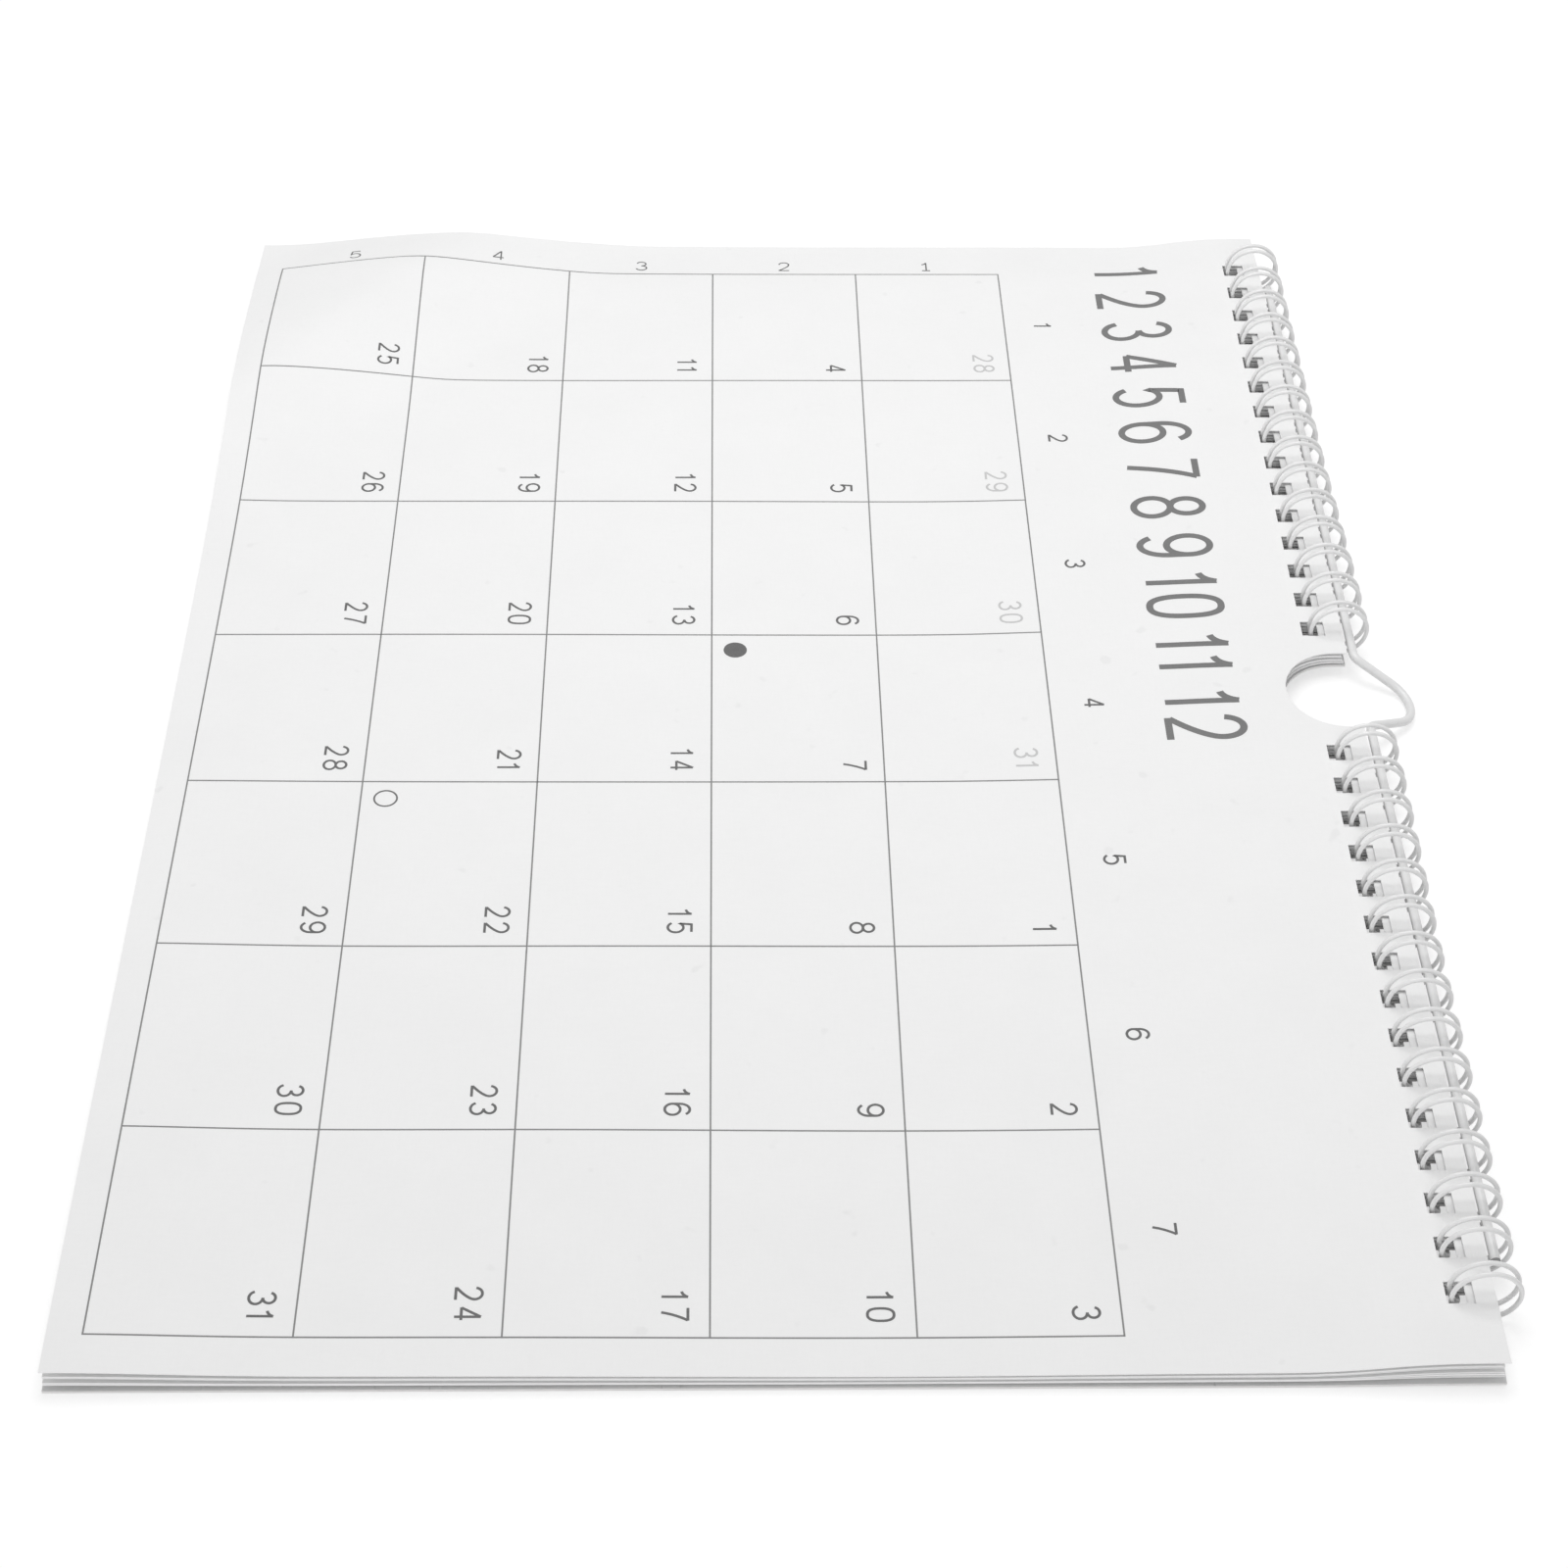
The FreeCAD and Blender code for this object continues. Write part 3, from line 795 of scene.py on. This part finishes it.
@dataclass
class MonthSheets:
    """The loose sheets under the front sheet, in bundles as they were knocked together."""

    relief: Relief
    paper: list[bpy.types.Material]
    board_top: float = 0.45
    front_bottom: float = 3.0
    thickness: float = 0.11
    least_air: float = 0.02
    fall_power: float = 2.2
    gaps: tuple[float, ...] = (0.380, 0.383, 0.386, 0.546, 0.550, 0.553, 0.557, 0.937, 0.940,
                               0.943, 0.946)
    setbacks: tuple[float, ...] = (0.42, 0.38, 0.40, 0.10, 0.04, 0.08, 0.06, 0.22, 0.28, 0.24,
                                   0.26)
    shifts: tuple[float, ...] = (0.35, 0.50, 0.40, 0.60, 0.65, 0.75, 0.70, 0.85, 0.80, 1.10,
                                 1.00)
    shift_at_bottom: float = 0.5
    cut: SheetCut = SheetCut(column_step=9.0, row_step=5.0)

    def underside(self, number: int, x: Array, y: Array) -> Array:
        """Height of one sheet's back.

        Over the board and its rise lie the sheets below and the sheet's own gap, stretched or
        closed as far as the front sheet swells. The free corners fall with the board's, less
        and less towards the top.

        Args:
            number: Number of the sheet from below, starting at 0.
            x: X of the places.
            y: Y of the places.

        Returns:
            The heights.
        """
        room = self.front_bottom - self.board_top
        loose = room - self.thickness * len(self.gaps)
        air = (loose + self.relief.swell(x, y)) / loose
        level = self.thickness * number + self.gaps[number] * np.maximum(air, self.least_air)
        fall = self.relief.fall(x, y) * (1 - np.clip(level / room, 0, 1)) ** self.fall_power
        return self.board_top + self.relief.rise(x, y) - fall + level

    def sheet(self, number: int) -> Surface:
        """One sheet, set back a little from the board's edges by its own amounts.

        Args:
            number: Number of the sheet from below, starting at 0.

        Returns:
            The sheet.
        """
        whole, shift = self.cut, self.shifts[number]
        cut = replace(whole, left=whole.left + self.setbacks[-1 - number],
                      right=whole.right - self.setbacks[number],
                      bottom=whole.bottom + self.shift_at_bottom * shift, top=whole.top - shift,
                      hole_from=whole.hole_from - shift, hole_to=whole.hole_to - shift,
                      notch_centre=whole.notch_centre - shift)
        return cut.shell(partial(self.underside, number), self.thickness)

    def top(self, x: Array, y: Array) -> Array:
        """Height of the uppermost sheet's printed face."""
        return self.underside(len(self.gaps) - 1, x, y) + self.thickness

    def build(self) -> None:
        """Make the stack in place of its CAD solid."""
        stack = Surface.joined(self.sheet(number) for number in range(len(self.gaps)))
        piece = stack.piece("month_sheet_stack", self.paper)
        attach(piece, "calendar")
        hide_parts("month_sheets")


@dataclass
class BackBoard:
    """The stiff board at the back, whose free corners by the binding hang down a little."""

    relief: Relief
    board: bpy.types.Material
    thickness: float = 0.45
    cut: SheetCut = SheetCut(column_step=3.5, row_step=3.0, notch_lines=33)

    def underside(self, x: Array, y: Array) -> Array:
        """Height of its back: the rise to the binding less the fall of the corners."""
        return self.relief.rise(x, y) - self.relief.fall(x, y)

    def build(self) -> None:
        """Make the board in place of its CAD solid."""
        piece = self.cut.shell(self.underside, self.thickness).piece(
            "back_board_card", [self.board, self.board])
        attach(piece, "calendar")
        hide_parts("back_board")


# Binding

@dataclass(frozen=True)
class BindingWire:
    """One half of the binding: a single wire that forms a twin loop at each hole.

    The wire lies a little deeper in the holes away from the notch, where the hanger doesn't
    hold it.
    """

    name: str
    replaced: str
    side: int
    leg_spacing: float = 2.1
    ring_radius: float = 5.1
    ring_y: float = 98.996
    ring_z: float = 5.5
    wire_radius: float = 0.39
    root_bend: float = 0.8
    root_angle: float = 224.1
    tip_angle: float = -100.0
    bend_points: int = 6
    arc_points: int = 55
    tip_points: int = 12
    slack_at_notch: float = 0.3
    slack_more: float = 0.85
    slack_from: float = 17.0
    slack_to: float = 75.0

    def twin_loop(self) -> tuple[Array, Array]:
        """One twin loop about its ring's middle: a quarter bend up from the bridge, an arc over
        the top to the tip, a half circle across, the same arc back and a quarter bend down.

        Returns:
            Points of the wire, and the direction out of the ring at each.
        """
        root, tip = math.radians(self.root_angle), math.radians(self.tip_angle)
        half = self.leg_spacing / 2
        quarter = np.linspace(0, np.pi / 2, self.bend_points, endpoint=False)
        around = np.linspace(root, tip, self.arc_points)
        across = np.linspace(0, np.pi, self.tip_points)[1:-1]
        angle = np.concatenate([np.full(quarter.shape, root), around, np.full(across.shape, tip)])
        x = np.concatenate([-half - self.root_bend * (1 - np.sin(quarter)),
                            np.full(around.shape, -half), -half * np.cos(across)])
        ahead = np.concatenate([-self.root_bend * np.cos(quarter), np.zeros(around.shape),
                                half * np.sin(across)])
        out = np.stack([np.zeros(angle.shape), np.cos(angle), np.sin(angle)], axis=1)
        on = np.stack([np.zeros(angle.shape), np.sin(angle), -np.cos(angle)], axis=1)
        points = self.ring_radius * out + ahead[:, None] * on
        points[:, 0] = x
        back = slice(len(quarter) + len(around) - 1, None, -1)
        return (np.concatenate([points, points[back] * [-1, 1, 1]]),
                np.concatenate([out, out[back]]))

    def build(self, material: bpy.types.Material) -> None:
        """Make the wire in place of its CAD solid: the same twin loop set at every hole.

        Args:
            material: Finish of the wire.
        """
        points, out = self.twin_loop()
        middles = np.sort(self.side * (FIRST_LOOP + LOOP_PITCH * np.arange(LOOPS_PER_SIDE)))
        offsets = middles[:, None] * np.array([1.0, 0.0, 0.0])
        path = (points[None] + offsets[:, None]).reshape(-1, 3)
        normals = np.tile(out, (LOOPS_PER_SIDE, 1))
        ends = path[[0, -1]]
        ends[:, 0] = middles[[0, -1]] + np.array([-0.5, 0.5]) * LOOP_PITCH
        path = np.concatenate([ends[:1], path, ends[1:]])
        normals = np.concatenate([normals[:1], normals, normals[-1:]])
        slack = self.slack_at_notch + self.slack_more * smooth_step(
            np.abs(path[:, 0]), self.slack_from, self.slack_to)
        path = path + np.stack([np.zeros(len(path)), self.ring_y - slack,
                                np.full(len(path), self.ring_z)], axis=1)
        piece = tube(path, normals, self.wire_radius).piece(self.name, [material])
        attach(piece, "calendar")
        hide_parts(self.replaced)


# Print

def arc(centre: tuple[float, float], radii: tuple[float, float], start: float, end: float,
        count: int = 28) -> Array:
    """Arc of an ellipse through even angles, in degrees."""
    angle = np.radians(np.linspace(start, end, count))
    return np.stack([centre[0] + radii[0] * np.cos(angle),
                     centre[1] + radii[1] * np.sin(angle)], axis=1)


def bow(first: tuple[float, float], pull: tuple[float, float], last: tuple[float, float],
        count: int = 14) -> Array:
    """Curve between two points towards a third: the quadratic Bezier of the three.

    Args:
        first: Where it starts.
        pull: The point that it bends towards.
        last: Where it ends.
        count: Number of points.

    Returns:
        The points.
    """
    t = np.linspace(0, 1, count)[:, None]
    a, b, c = map(np.array, (first, pull, last))
    return (1 - t) ** 2 * a + 2 * t * (1 - t) * b + t ** 2 * c


def oval(squareness: float = 2.5, count: int = 49) -> Array:
    """Superellipse that fills the unit box: powers of cosine and sine of an even angle.

    Args:
        squareness: 2 for an ellipse, more for a squarer one.
        count: Number of points.

    Returns:
        The points.
    """
    angle = np.linspace(0, 2 * np.pi, count)
    turn = np.stack([np.cos(angle), np.sin(angle)], axis=1)
    return 0.5 + 0.5 * np.sign(turn) * np.abs(turn) ** (2 / squareness)


def six() -> list[Array]:
    """Strokes of a six: a bowl, and a back that turns over at the top."""
    back = np.concatenate([[[0.0, 0.31]], arc((0.52, 0.60), (0.52, 0.40), 180, 38)])
    return [arc((0.5, 0.31), (0.5, 0.31), 0, 360, 45), back]


def digit_shapes() -> tuple[list[Array], ...]:
    """Middles of the strokes of the digits 0 to 9, in a box one wide and one high.

    Returns:
        The paths of each digit; the nine is the six turned upside down.
    """
    one = [np.array([[0.72, 0.0], [0.72, 1.0]]), bow((0.72, 1.0), (0.62, 0.80), (0.30, 0.76))]
    two = [np.concatenate([arc((0.5, 0.72), (0.46, 0.28), 172, -22),
                           bow((0.90, 0.58), (0.70, 0.34), (0.04, 0.02))]),
           np.array([[0.0, 0.0], [1.0, 0.0]])]
    three = [arc((0.48, 0.765), (0.42, 0.235), 165, -90),
             arc((0.48, 0.265), (0.5, 0.265), 90, -165)]
    four = [np.array([[0.74, 0.0], [0.74, 1.0]]), np.array([[0.0, 0.26], [1.0, 0.26]]),
            np.array([[0.02, 0.26], [0.74, 1.0]])]
    five = [np.concatenate([[[0.92, 1.0], [0.17, 1.0], [0.09, 0.50]],
                            arc((0.48, 0.33), (0.5, 0.33), 142, -148)])]
    seven = [np.array([[0.0, 1.0], [1.0, 1.0]]), bow((0.98, 1.0), (0.52, 0.52), (0.36, 0.0))]
    eight = [arc((0.5, 0.765), (0.41, 0.235), 0, 360, 41),
             arc((0.5, 0.265), (0.5, 0.265), 0, 360, 45)]
    nine = [1.0 - stroke for stroke in six()]
    return [oval()], one, two, three, four, five, six(), seven, eight, nine


DIGIT_SHAPES = digit_shapes()


@dataclass(frozen=True)
class Lettering:
    """Size of one kind of number on the page, over the outside of its strokes."""

    height: float
    width: float
    stroke: float
    gap: float
    ink: Ink
    one_narrower: float = 0.4
    step: float = 0.3

    def advance(self, letter: str) -> float:
        """Width that one digit takes up."""
        narrower = self.one_narrower * (self.width - self.stroke) if letter == "1" else 0.0
        return self.width - narrower

    def length(self, number: str) -> float:
        """Width of a whole number."""
        return sum(map(self.advance, number)) + self.gap * (len(number) - 1)

    def strokes(self, number: str, x: float, y: float) -> list["Stroke"]:
        """Strokes of a number.

        Args:
            number: Its digits.
            x: X of its lower left corner.
            y: Y of its lower left corner.

        Returns:
            The strokes, digit by digit.
        """
        size = np.array([self.width - self.stroke, self.height - self.stroke])
        found: list[Stroke] = []
        for letter in number:
            start = x - (self.width - self.advance(letter)) + self.stroke / 2
            corner = np.array([start, y + self.stroke / 2])
            found += [Stroke(corner + path * size, self.stroke, self.ink, self.step)
                      for path in DIGIT_SHAPES[int(letter)]]
            x += self.advance(letter) + self.gap
        return found


@dataclass(frozen=True)
class Stroke:
    """A printed stroke of even width along a path on the page."""

    path: Array
    width: float
    ink: Ink
    step: float = 1.0
    least_part: float = 1 / 20
    closed_within: float = 1e-4
    least_cosine: float = 0.2
    longest_mitre: float = 1.6

    def turned(self, x: float, y: float) -> "Stroke":
        """The stroke turned a quarter to the left about the origin and moved to a place."""
        path = np.stack([x - self.path[:, 1], y + self.path[:, 0]], axis=1)
        return replace(self, path=path)

    def divided(self) -> Array:
        """The path with points added at even lengths, no further apart than the step.

        Returns:
            The points; of two that fall almost together, only the first stays.
        """
        lengths = np.concatenate([[0], np.cumsum(np.hypot(*np.diff(self.path, axis=0).T))])
        extra = np.linspace(0, lengths[-1], max(2, math.ceil(lengths[-1] / self.step) + 1))
        places = np.unique(np.round(np.concatenate([lengths, extra]), 5))
        kept = np.concatenate([[True], np.diff(places) > self.step * self.least_part])
        places = places[kept]
        return np.stack([np.interp(places, lengths, row) for row in self.path.T], axis=1)

    def skin(self, height: Callable[[Array, Array], Array], lift: float, sink: float) -> Surface:
        """Thin closed bar along the path that follows the page.

        Each point of the path gives the four corners of the bar's section: half a width to
        both sides, along the mitred normal, and from a sink below the page to a lift above.

        Args:
            height: Height of the page over X and Y.
            lift: How far the ink stands over the page.
            sink: How far the bar reaches into the paper.

        Returns:
            The bar, all in the slot of its ink.
        """
        path = self.divided()
        closed = bool(np.allclose(path[0], path[-1], atol=self.closed_within))
        path = path[:-1] if closed else path
        count = len(path)
        along = np.diff(np.concatenate([path[-1:], path, path[:1]]), axis=0)
        along /= np.hypot(*along.T)[:, None]
        before, after = along[:-1], along[1:]
        if not closed:
            before, after = before.copy(), after.copy()
            before[0], after[-1] = after[0], before[-1]
        mean = before + after
        mean /= np.hypot(*mean.T)[:, None]
        cosine = np.maximum((mean * after).sum(axis=1), self.least_cosine)
        mitre = np.clip(1 / cosine, 1.0, self.longest_mitre)
        normal = np.stack([-mean[:, 1], mean[:, 0]], axis=1) * (mitre * self.width / 2)[:, None]
        left, right = path + normal, path - normal
        z_left, z_right = height(*left.T), height(*right.T)
        section = np.stack([
            np.column_stack([right, z_right - sink]), np.column_stack([right, z_right + lift]),
            np.column_stack([left, z_left + lift]), np.column_stack([left, z_left - sink]),
        ], axis=1)
        here = np.arange(count if closed else count - 1)
        there = (here + 1) % count
        corner = np.arange(4)
        following = (corner + 1) % 4
        sides = np.stack([here[:, None] * 4 + corner, there[:, None] * 4 + corner,
                          there[:, None] * 4 + following, here[:, None] * 4 + following], axis=-1)
        faces = sides.reshape(-1, 4)
        if not closed:
            ends = np.array([[0, 1, 2, 3], [3, 2, 1, 0]]) + np.array([[0], [4 * (count - 1)]])
            faces = np.concatenate([faces, ends])
        return Surface(section.reshape(-1, 3), faces, np.zeros(len(faces), bool),
                       np.full(len(faces), self.ink.index))


@dataclass(frozen=True)
class PageLayout:
    """Places of the print on a sheet."""

    left: float = -136.7
    right: float = 141.4
    bottom: float = -105.304
    top: float = 44.696
    columns: int = 7
    rows: int = 5
    line_width: float = 0.26
    title_x: float = -139.3
    title_y: float = 64.496
    title_numbers: int = 12
    number_gap: float = 5.0
    date_inset_x: float = 2.9
    date_inset_y: float = 3.0
    heading_up: float = 5.9
    week_left: float = 1.5
    foot_from: float = -0.2
    foot_to: float = 1.5
    foot_step: float = 0.2
    moon_diameter: float = 4.2
    moon_inset: float = 4.25
    moon_line: float = 0.3
    moon_points: int = 49
    title: Lettering = Lettering(14.4, 7.0, 1.3, 1.3, Ink.TITLE, step=0.6)
    heading: Lettering = Lettering(3.9, 2.6, 0.42, 0.9, Ink.DATE)
    date: Lettering = Lettering(4.3, 2.7, 0.42, 1.0, Ink.DATE)
    pale_date: Lettering = replace(date, ink=Ink.PALE)
    week: Lettering = Lettering(3.7, 2.5, 0.29, 0.6, Ink.DATE, step=0.25)

    @property
    def cell(self) -> tuple[float, float]:
        """Width and height of a day's cell."""
        return (self.right - self.left) / self.columns, (self.top - self.bottom) / self.rows

    def grid(self) -> list[Stroke]:
        """Lines round the cells, the level ones past the upright ones by half a line.

        Returns:
            The upright lines, then the level ones.
        """
        half = self.line_width / 2
        xs = np.linspace(self.left, self.right, self.columns + 1)
        ys = np.linspace(self.bottom, self.top, self.rows + 1)
        upright = [Stroke(np.array([[x, self.bottom], [x, self.top]]), self.line_width, Ink.LINE)
                   for x in xs]
        level = [Stroke(np.array([[self.left - half, y], [self.right + half, y]]),
                        self.line_width, Ink.LINE) for y in ys]
        return upright + level

    def title_row(self) -> list[Stroke]:
        """Plain numbers from 1 up, in one row over the whole page.

        Returns:
            The strokes of all numbers.
        """
        x = self.title_x
        found: list[Stroke] = []
        for number in map(str, range(1, self.title_numbers + 1)):
            found += self.title.strokes(number, x, self.title_y)
            x += self.title.length(number) + self.number_gap
        return found

    def heading_row(self) -> list[Stroke]:
        """Plain numbers from 1 up, over the middles of the columns.

        Returns:
            The strokes of all numbers.
        """
        found: list[Stroke] = []
        for column in range(self.columns):
            number = str(column + 1)
            x = self.left + self.cell[0] * (column + 0.5) - self.heading.length(number) / 2
            found += self.heading.strokes(number, x, self.top + self.heading_up)
        return found

    def week_numbers(self, first: int) -> list[Stroke]:
        """Numbers of the weeks, left of the rows' middles and turned to read upwards.

        Args:
            first: Number of the uppermost row. A 1 stands on a short foot.

        Returns:
            The strokes of all numbers.
        """
        found: list[Stroke] = []
        for row in range(self.rows):
            number = str(first + row)
            y = self.top - self.cell[1] * (row + 0.5) - self.week.length(number) / 2
            strokes = self.week.strokes(number, 0.0, 0.0)
            if number == "1":
                foot = np.array([[self.foot_from, 0.0], [self.foot_to, 0.0]])
                strokes.append(Stroke(foot + self.week.stroke / 2, self.week.stroke,
                                      self.week.ink, self.foot_step))
            found += [stroke.turned(self.left - self.week_left, y) for stroke in strokes]
        return found

    def dates(self, days_before: int, last_before: int, days: int) -> list[Stroke]:
        """Day numbers in the upper right corners of their cells.

        Args:
            days_before: Cells of the month before, printed pale.
            last_before: The last day number of the month before.
            days: Days in this month; cells after it are pale too.

        Returns:
            The strokes of all numbers.
        """
        found: list[Stroke] = []
        for cell in range(self.columns * self.rows):
            row, column = divmod(cell, self.columns)
            day = cell - days_before + 1
            inside = 1 <= day <= days
            shown = day if inside else (day + last_before if day < 1 else day - days)
            style = self.date if inside else self.pale_date
            right = self.left + self.cell[0] * (column + 1) - self.date_inset_x
            y = self.top - self.cell[1] * row - self.date_inset_y - style.height
            found += style.strokes(str(shown), right - style.length(str(shown)), y)
        return found

    def moon(self, cell: tuple[int, int], radius: float, line: float) -> Stroke:
        """One round stroke in the lower left corner of a cell.

        Args:
            cell: The cell's column, and its row from the top, both from 0.
            radius: Radius of the stroke's middle.
            line: Width of the stroke.

        Returns:
            The stroke.
        """
        centre = (self.left + self.cell[0] * cell[0] + self.moon_inset,
                  self.top - self.cell[1] * (cell[1] + 1) + self.moon_inset)
        return Stroke(arc(centre, (radius, radius), 0, 360, self.moon_points), line, Ink.DATE)

    def moons(self, filled: tuple[int, int], outlined: tuple[int, int]) -> list[Stroke]:
        """An outlined disc in one cell and a filled disc in another.

        Args:
            filled: Cell of the filled disc, which is one stroke as wide as its radius.
            outlined: Cell of the outlined disc.

        Returns:
            The strokes of both.
        """
        radius, line = self.moon_diameter / 2, self.moon_line
        return [self.moon(outlined, radius - line / 2, line),
                self.moon(filled, radius / 2, radius)]


@dataclass
class MonthPrint:
    """The print on one sheet: strokes of ink that follow its face."""

    name: str
    body: str
    face: Callable[[Array, Array], Array]
    inks: list[bpy.types.Material]
    lift: float = 0.035
    lift_step: float = 0.0015
    lifts: int = 6
    sink: float = 0.06

    def build(self, strokes: list[Stroke], replaced: str | None = None) -> None:
        """Make the print.

        Args:
            strokes: What is printed; each next stroke of a handful lies a little higher, so
                that crossing strokes don't share a face.
            replaced: CAD node that the print stands for.
        """
        lifts = self.lift + self.lift_step * (np.arange(len(strokes)) % self.lifts)
        skins = [stroke.skin(self.face, lift, self.sink) for stroke, lift in zip(strokes, lifts)]
        piece = Surface.joined(skins).piece(self.name, self.inks)
        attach(piece, self.body)
        if replaced:
            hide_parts(replaced)


@dataclass(frozen=True)
class Hanger:
    """The wire hanger, whose CAD node is shown as it is."""

    node: str = "hanger_wire"
    finish: CoatedWireFinish = CoatedWireFinish("hanger_wire", coat=grey(0.80),
                                                cut_beyond=0.12928)

    def dress(self, nodes: dict[str, bpy.types.Object]) -> None:
        """Give the node its finish in all of its slots.

        Args:
            nodes: The frame's objects by their names.
        """
        material = self.finish.material()
        mesh = nodes[self.node].data
        if not mesh.materials:
            mesh.materials.append(material)
        for slot in range(len(mesh.materials)):
            mesh.materials[slot] = material
        log.info("%s: %s", self.node, material.name)


# Studio

@dataclass(frozen=True)
class Camera:
    """The photograph's camera, in the part's frame: place in millimetres, angles in degrees."""

    place: tuple[float, float, float] = (421.492, -13.730, 365.401)
    elevation: float = 42.2445
    azimuth: float = -1.5734
    roll: float = 1.0245
    focal_pixels: float = 3187.0
    image_pixels: float = 1600.0
    sensor: float = 36.0
    clip_start: float = 0.01

    def build(self) -> None:
        """Set up the camera: it looks against the direction given by elevation and azimuth."""
        up_angle, side_angle = math.radians(self.elevation), math.radians(self.azimuth)
        back = Vector((math.cos(up_angle) * math.cos(side_angle),
                       math.cos(up_angle) * math.sin(side_angle), math.sin(up_angle)))
        level = (-back).cross(Vector((0, 0, 1))).normalized()
        upright = level.cross(-back)
        turn = math.radians(self.roll)
        right = math.cos(turn) * level + math.sin(turn) * upright
        top = math.cos(turn) * upright - math.sin(turn) * level
        data = bpy.data.cameras.new("camera")
        data.sensor_width = self.sensor
        data.lens = self.focal_pixels * self.sensor / self.image_pixels
        data.clip_start = self.clip_start
        camera = bpy.data.objects.new("camera", data)
        axes = Matrix((right, top, back)).transposed().to_4x4()
        camera.matrix_world = Matrix.Translation(Vector(self.place) * MM) @ axes
        bpy.context.scene.collection.objects.link(camera)
        bpy.context.scene.camera = camera


@dataclass(frozen=True)
class SoftBox:
    """A square soft lamp, with its places and size in metres."""

    name: str
    place: tuple[float, float, float]
    target: tuple[float, float, float]
    size: float
    watts: float

    def build(self) -> None:
        """Hang the lamp and aim it; the camera doesn't see it."""
        data = bpy.data.lights.new(self.name, "AREA")
        data.shape = "SQUARE"
        data.size = self.size
        data.energy = self.watts
        lamp = bpy.data.objects.new(self.name, data)
        lamp.location = self.place
        aim = Vector(self.target) - Vector(self.place)
        lamp.rotation_euler = aim.to_track_quat("-Z", "Y").to_euler()
        lamp.visible_camera = False
        bpy.context.scene.collection.objects.link(lamp)


@dataclass(frozen=True)
class Studio:
    """Pale floor, soft lamps and white surroundings.

    The floor looks a little brighter far off, so that no line shows at its end.
    """

    floor_level: float = -0.05
    floor_size: float = 12000.0
    floor_tone: Color = grey(0.92)
    grain_tone: Color = grey(0.91)
    grains_per_metre: float = 3.0
    floor_seen: Color = grey(0.50)
    floor_glow: float = 0.60
    floor_glow_far: float = 0.80
    glow_from: float = 0.35
    glow_to: float = 1.3
    ambient: float = 0.49
    lamps: tuple[SoftBox, ...] = (
        SoftBox("overhead", (-0.128, 0.0, 0.56), (-0.128, 0.0, 0.0), 0.35, 1.58),
        SoftBox("side", (1.5, -0.3, 0.42), (0.0, 0.0, 0.0), 1.2, 5.8),
    )

    def floor(self) -> None:
        """Level plane under the calendar that shows white and keeps a soft shadow."""
        n = material_nodes("floor")
        place, watched = n.place(), n.watched()
        grain = n.ramp(n.noise(place, self.grains_per_metre, 2.0), 0.3, 0.7)
        tone = n.blend(watched, n.blend(grain, self.floor_tone, self.grain_tone), self.floor_seen)
        reach = n.add("VectorMath", {0: place}, operation="LENGTH").outputs["Value"]
        far = n.ramp(reach, self.glow_from, self.glow_to, self.floor_glow, self.floor_glow_far)
        glow = n.joined("MULTIPLY", watched, far)
        matt = n.add("BsdfDiffuse", {"Color": tone})
        light = n.add("Emission", {"Color": grey(1.0), "Strength": glow})
        both = n.add("AddShader", {0: matt.outputs[0], 1: light.outputs[0]})
        n.add("OutputMaterial", {"Surface": both.outputs[0]})
        corners = np.array([[-1, -1], [1, -1], [1, 1], [-1, 1]]) * self.floor_size / 2
        points = np.column_stack([corners, np.full(4, self.floor_level)])
        floor = Surface(points, np.array([[0, 1, 2, 3]]), np.array([False]), np.array([0]))
        floor.piece("floor", [n.material])

    def surroundings(self) -> None:
        """White world that lights gently from all round and shows white."""
        world = bpy.data.worlds.new("surroundings")
        n = Nodes(world)
        strength = n.ramp(n.watched(), 0.0, 1.0, self.ambient, 1.0)
        background = n.add("Background", {"Color": grey(1.0), "Strength": strength})
        n.add("OutputWorld", {"Surface": background.outputs[0]})
        bpy.context.scene.world = world

    def build(self) -> None:
        """Set up the whole studio."""
        self.floor()
        self.surroundings()
        for lamp in self.lamps:
            lamp.build()
        bpy.context.scene.view_settings.view_transform = "Standard"


def main() -> None:
    """Build the calendar's classes in order."""
    logging.basicConfig(level=logging.INFO, format="%(name)s %(message)s")
    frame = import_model()

    relief = Relief()
    paper = [PaperFinish().material(), CutEdgeFinish().material()]
    inks = [ink.value.material() for ink in Ink]

    front = FrontSheet(relief, paper)
    front.build()
    stack = MonthSheets(relief, paper)
    stack.build()
    BackBoard(relief, BoardFinish().material()).build()

    page = PageLayout()
    shared = page.grid() + page.title_row() + page.heading_row()
    first_month = page.week_numbers(first=1) \
        + page.dates(days_before=4, last_before=31, days=31) \
        + page.moons(filled=(3, 1), outlined=(4, 3))
    next_month = page.week_numbers(first=5) \
        + page.dates(days_before=0, last_before=31, days=28) \
        + page.moons(filled=(5, 0), outlined=(5, 2))
    front_print = MonthPrint("front_print", "turning_sheet", front.top, inks)
    front_print.build(shared + first_month, "printed_month")
    MonthPrint("next_print", "calendar", stack.top, inks).build(shared + next_month)

    wire = CoatedWireFinish("binding_wire").material()
    BindingWire("twin_loop_wire_left", "binding_wire_left", -1).build(wire)
    BindingWire("twin_loop_wire_right", "binding_wire_right", 1).build(wire)
    Hanger().dress(frame["nodes"])

    Studio().build()
    Camera().build()


if __name__ == "__main__":
    main()
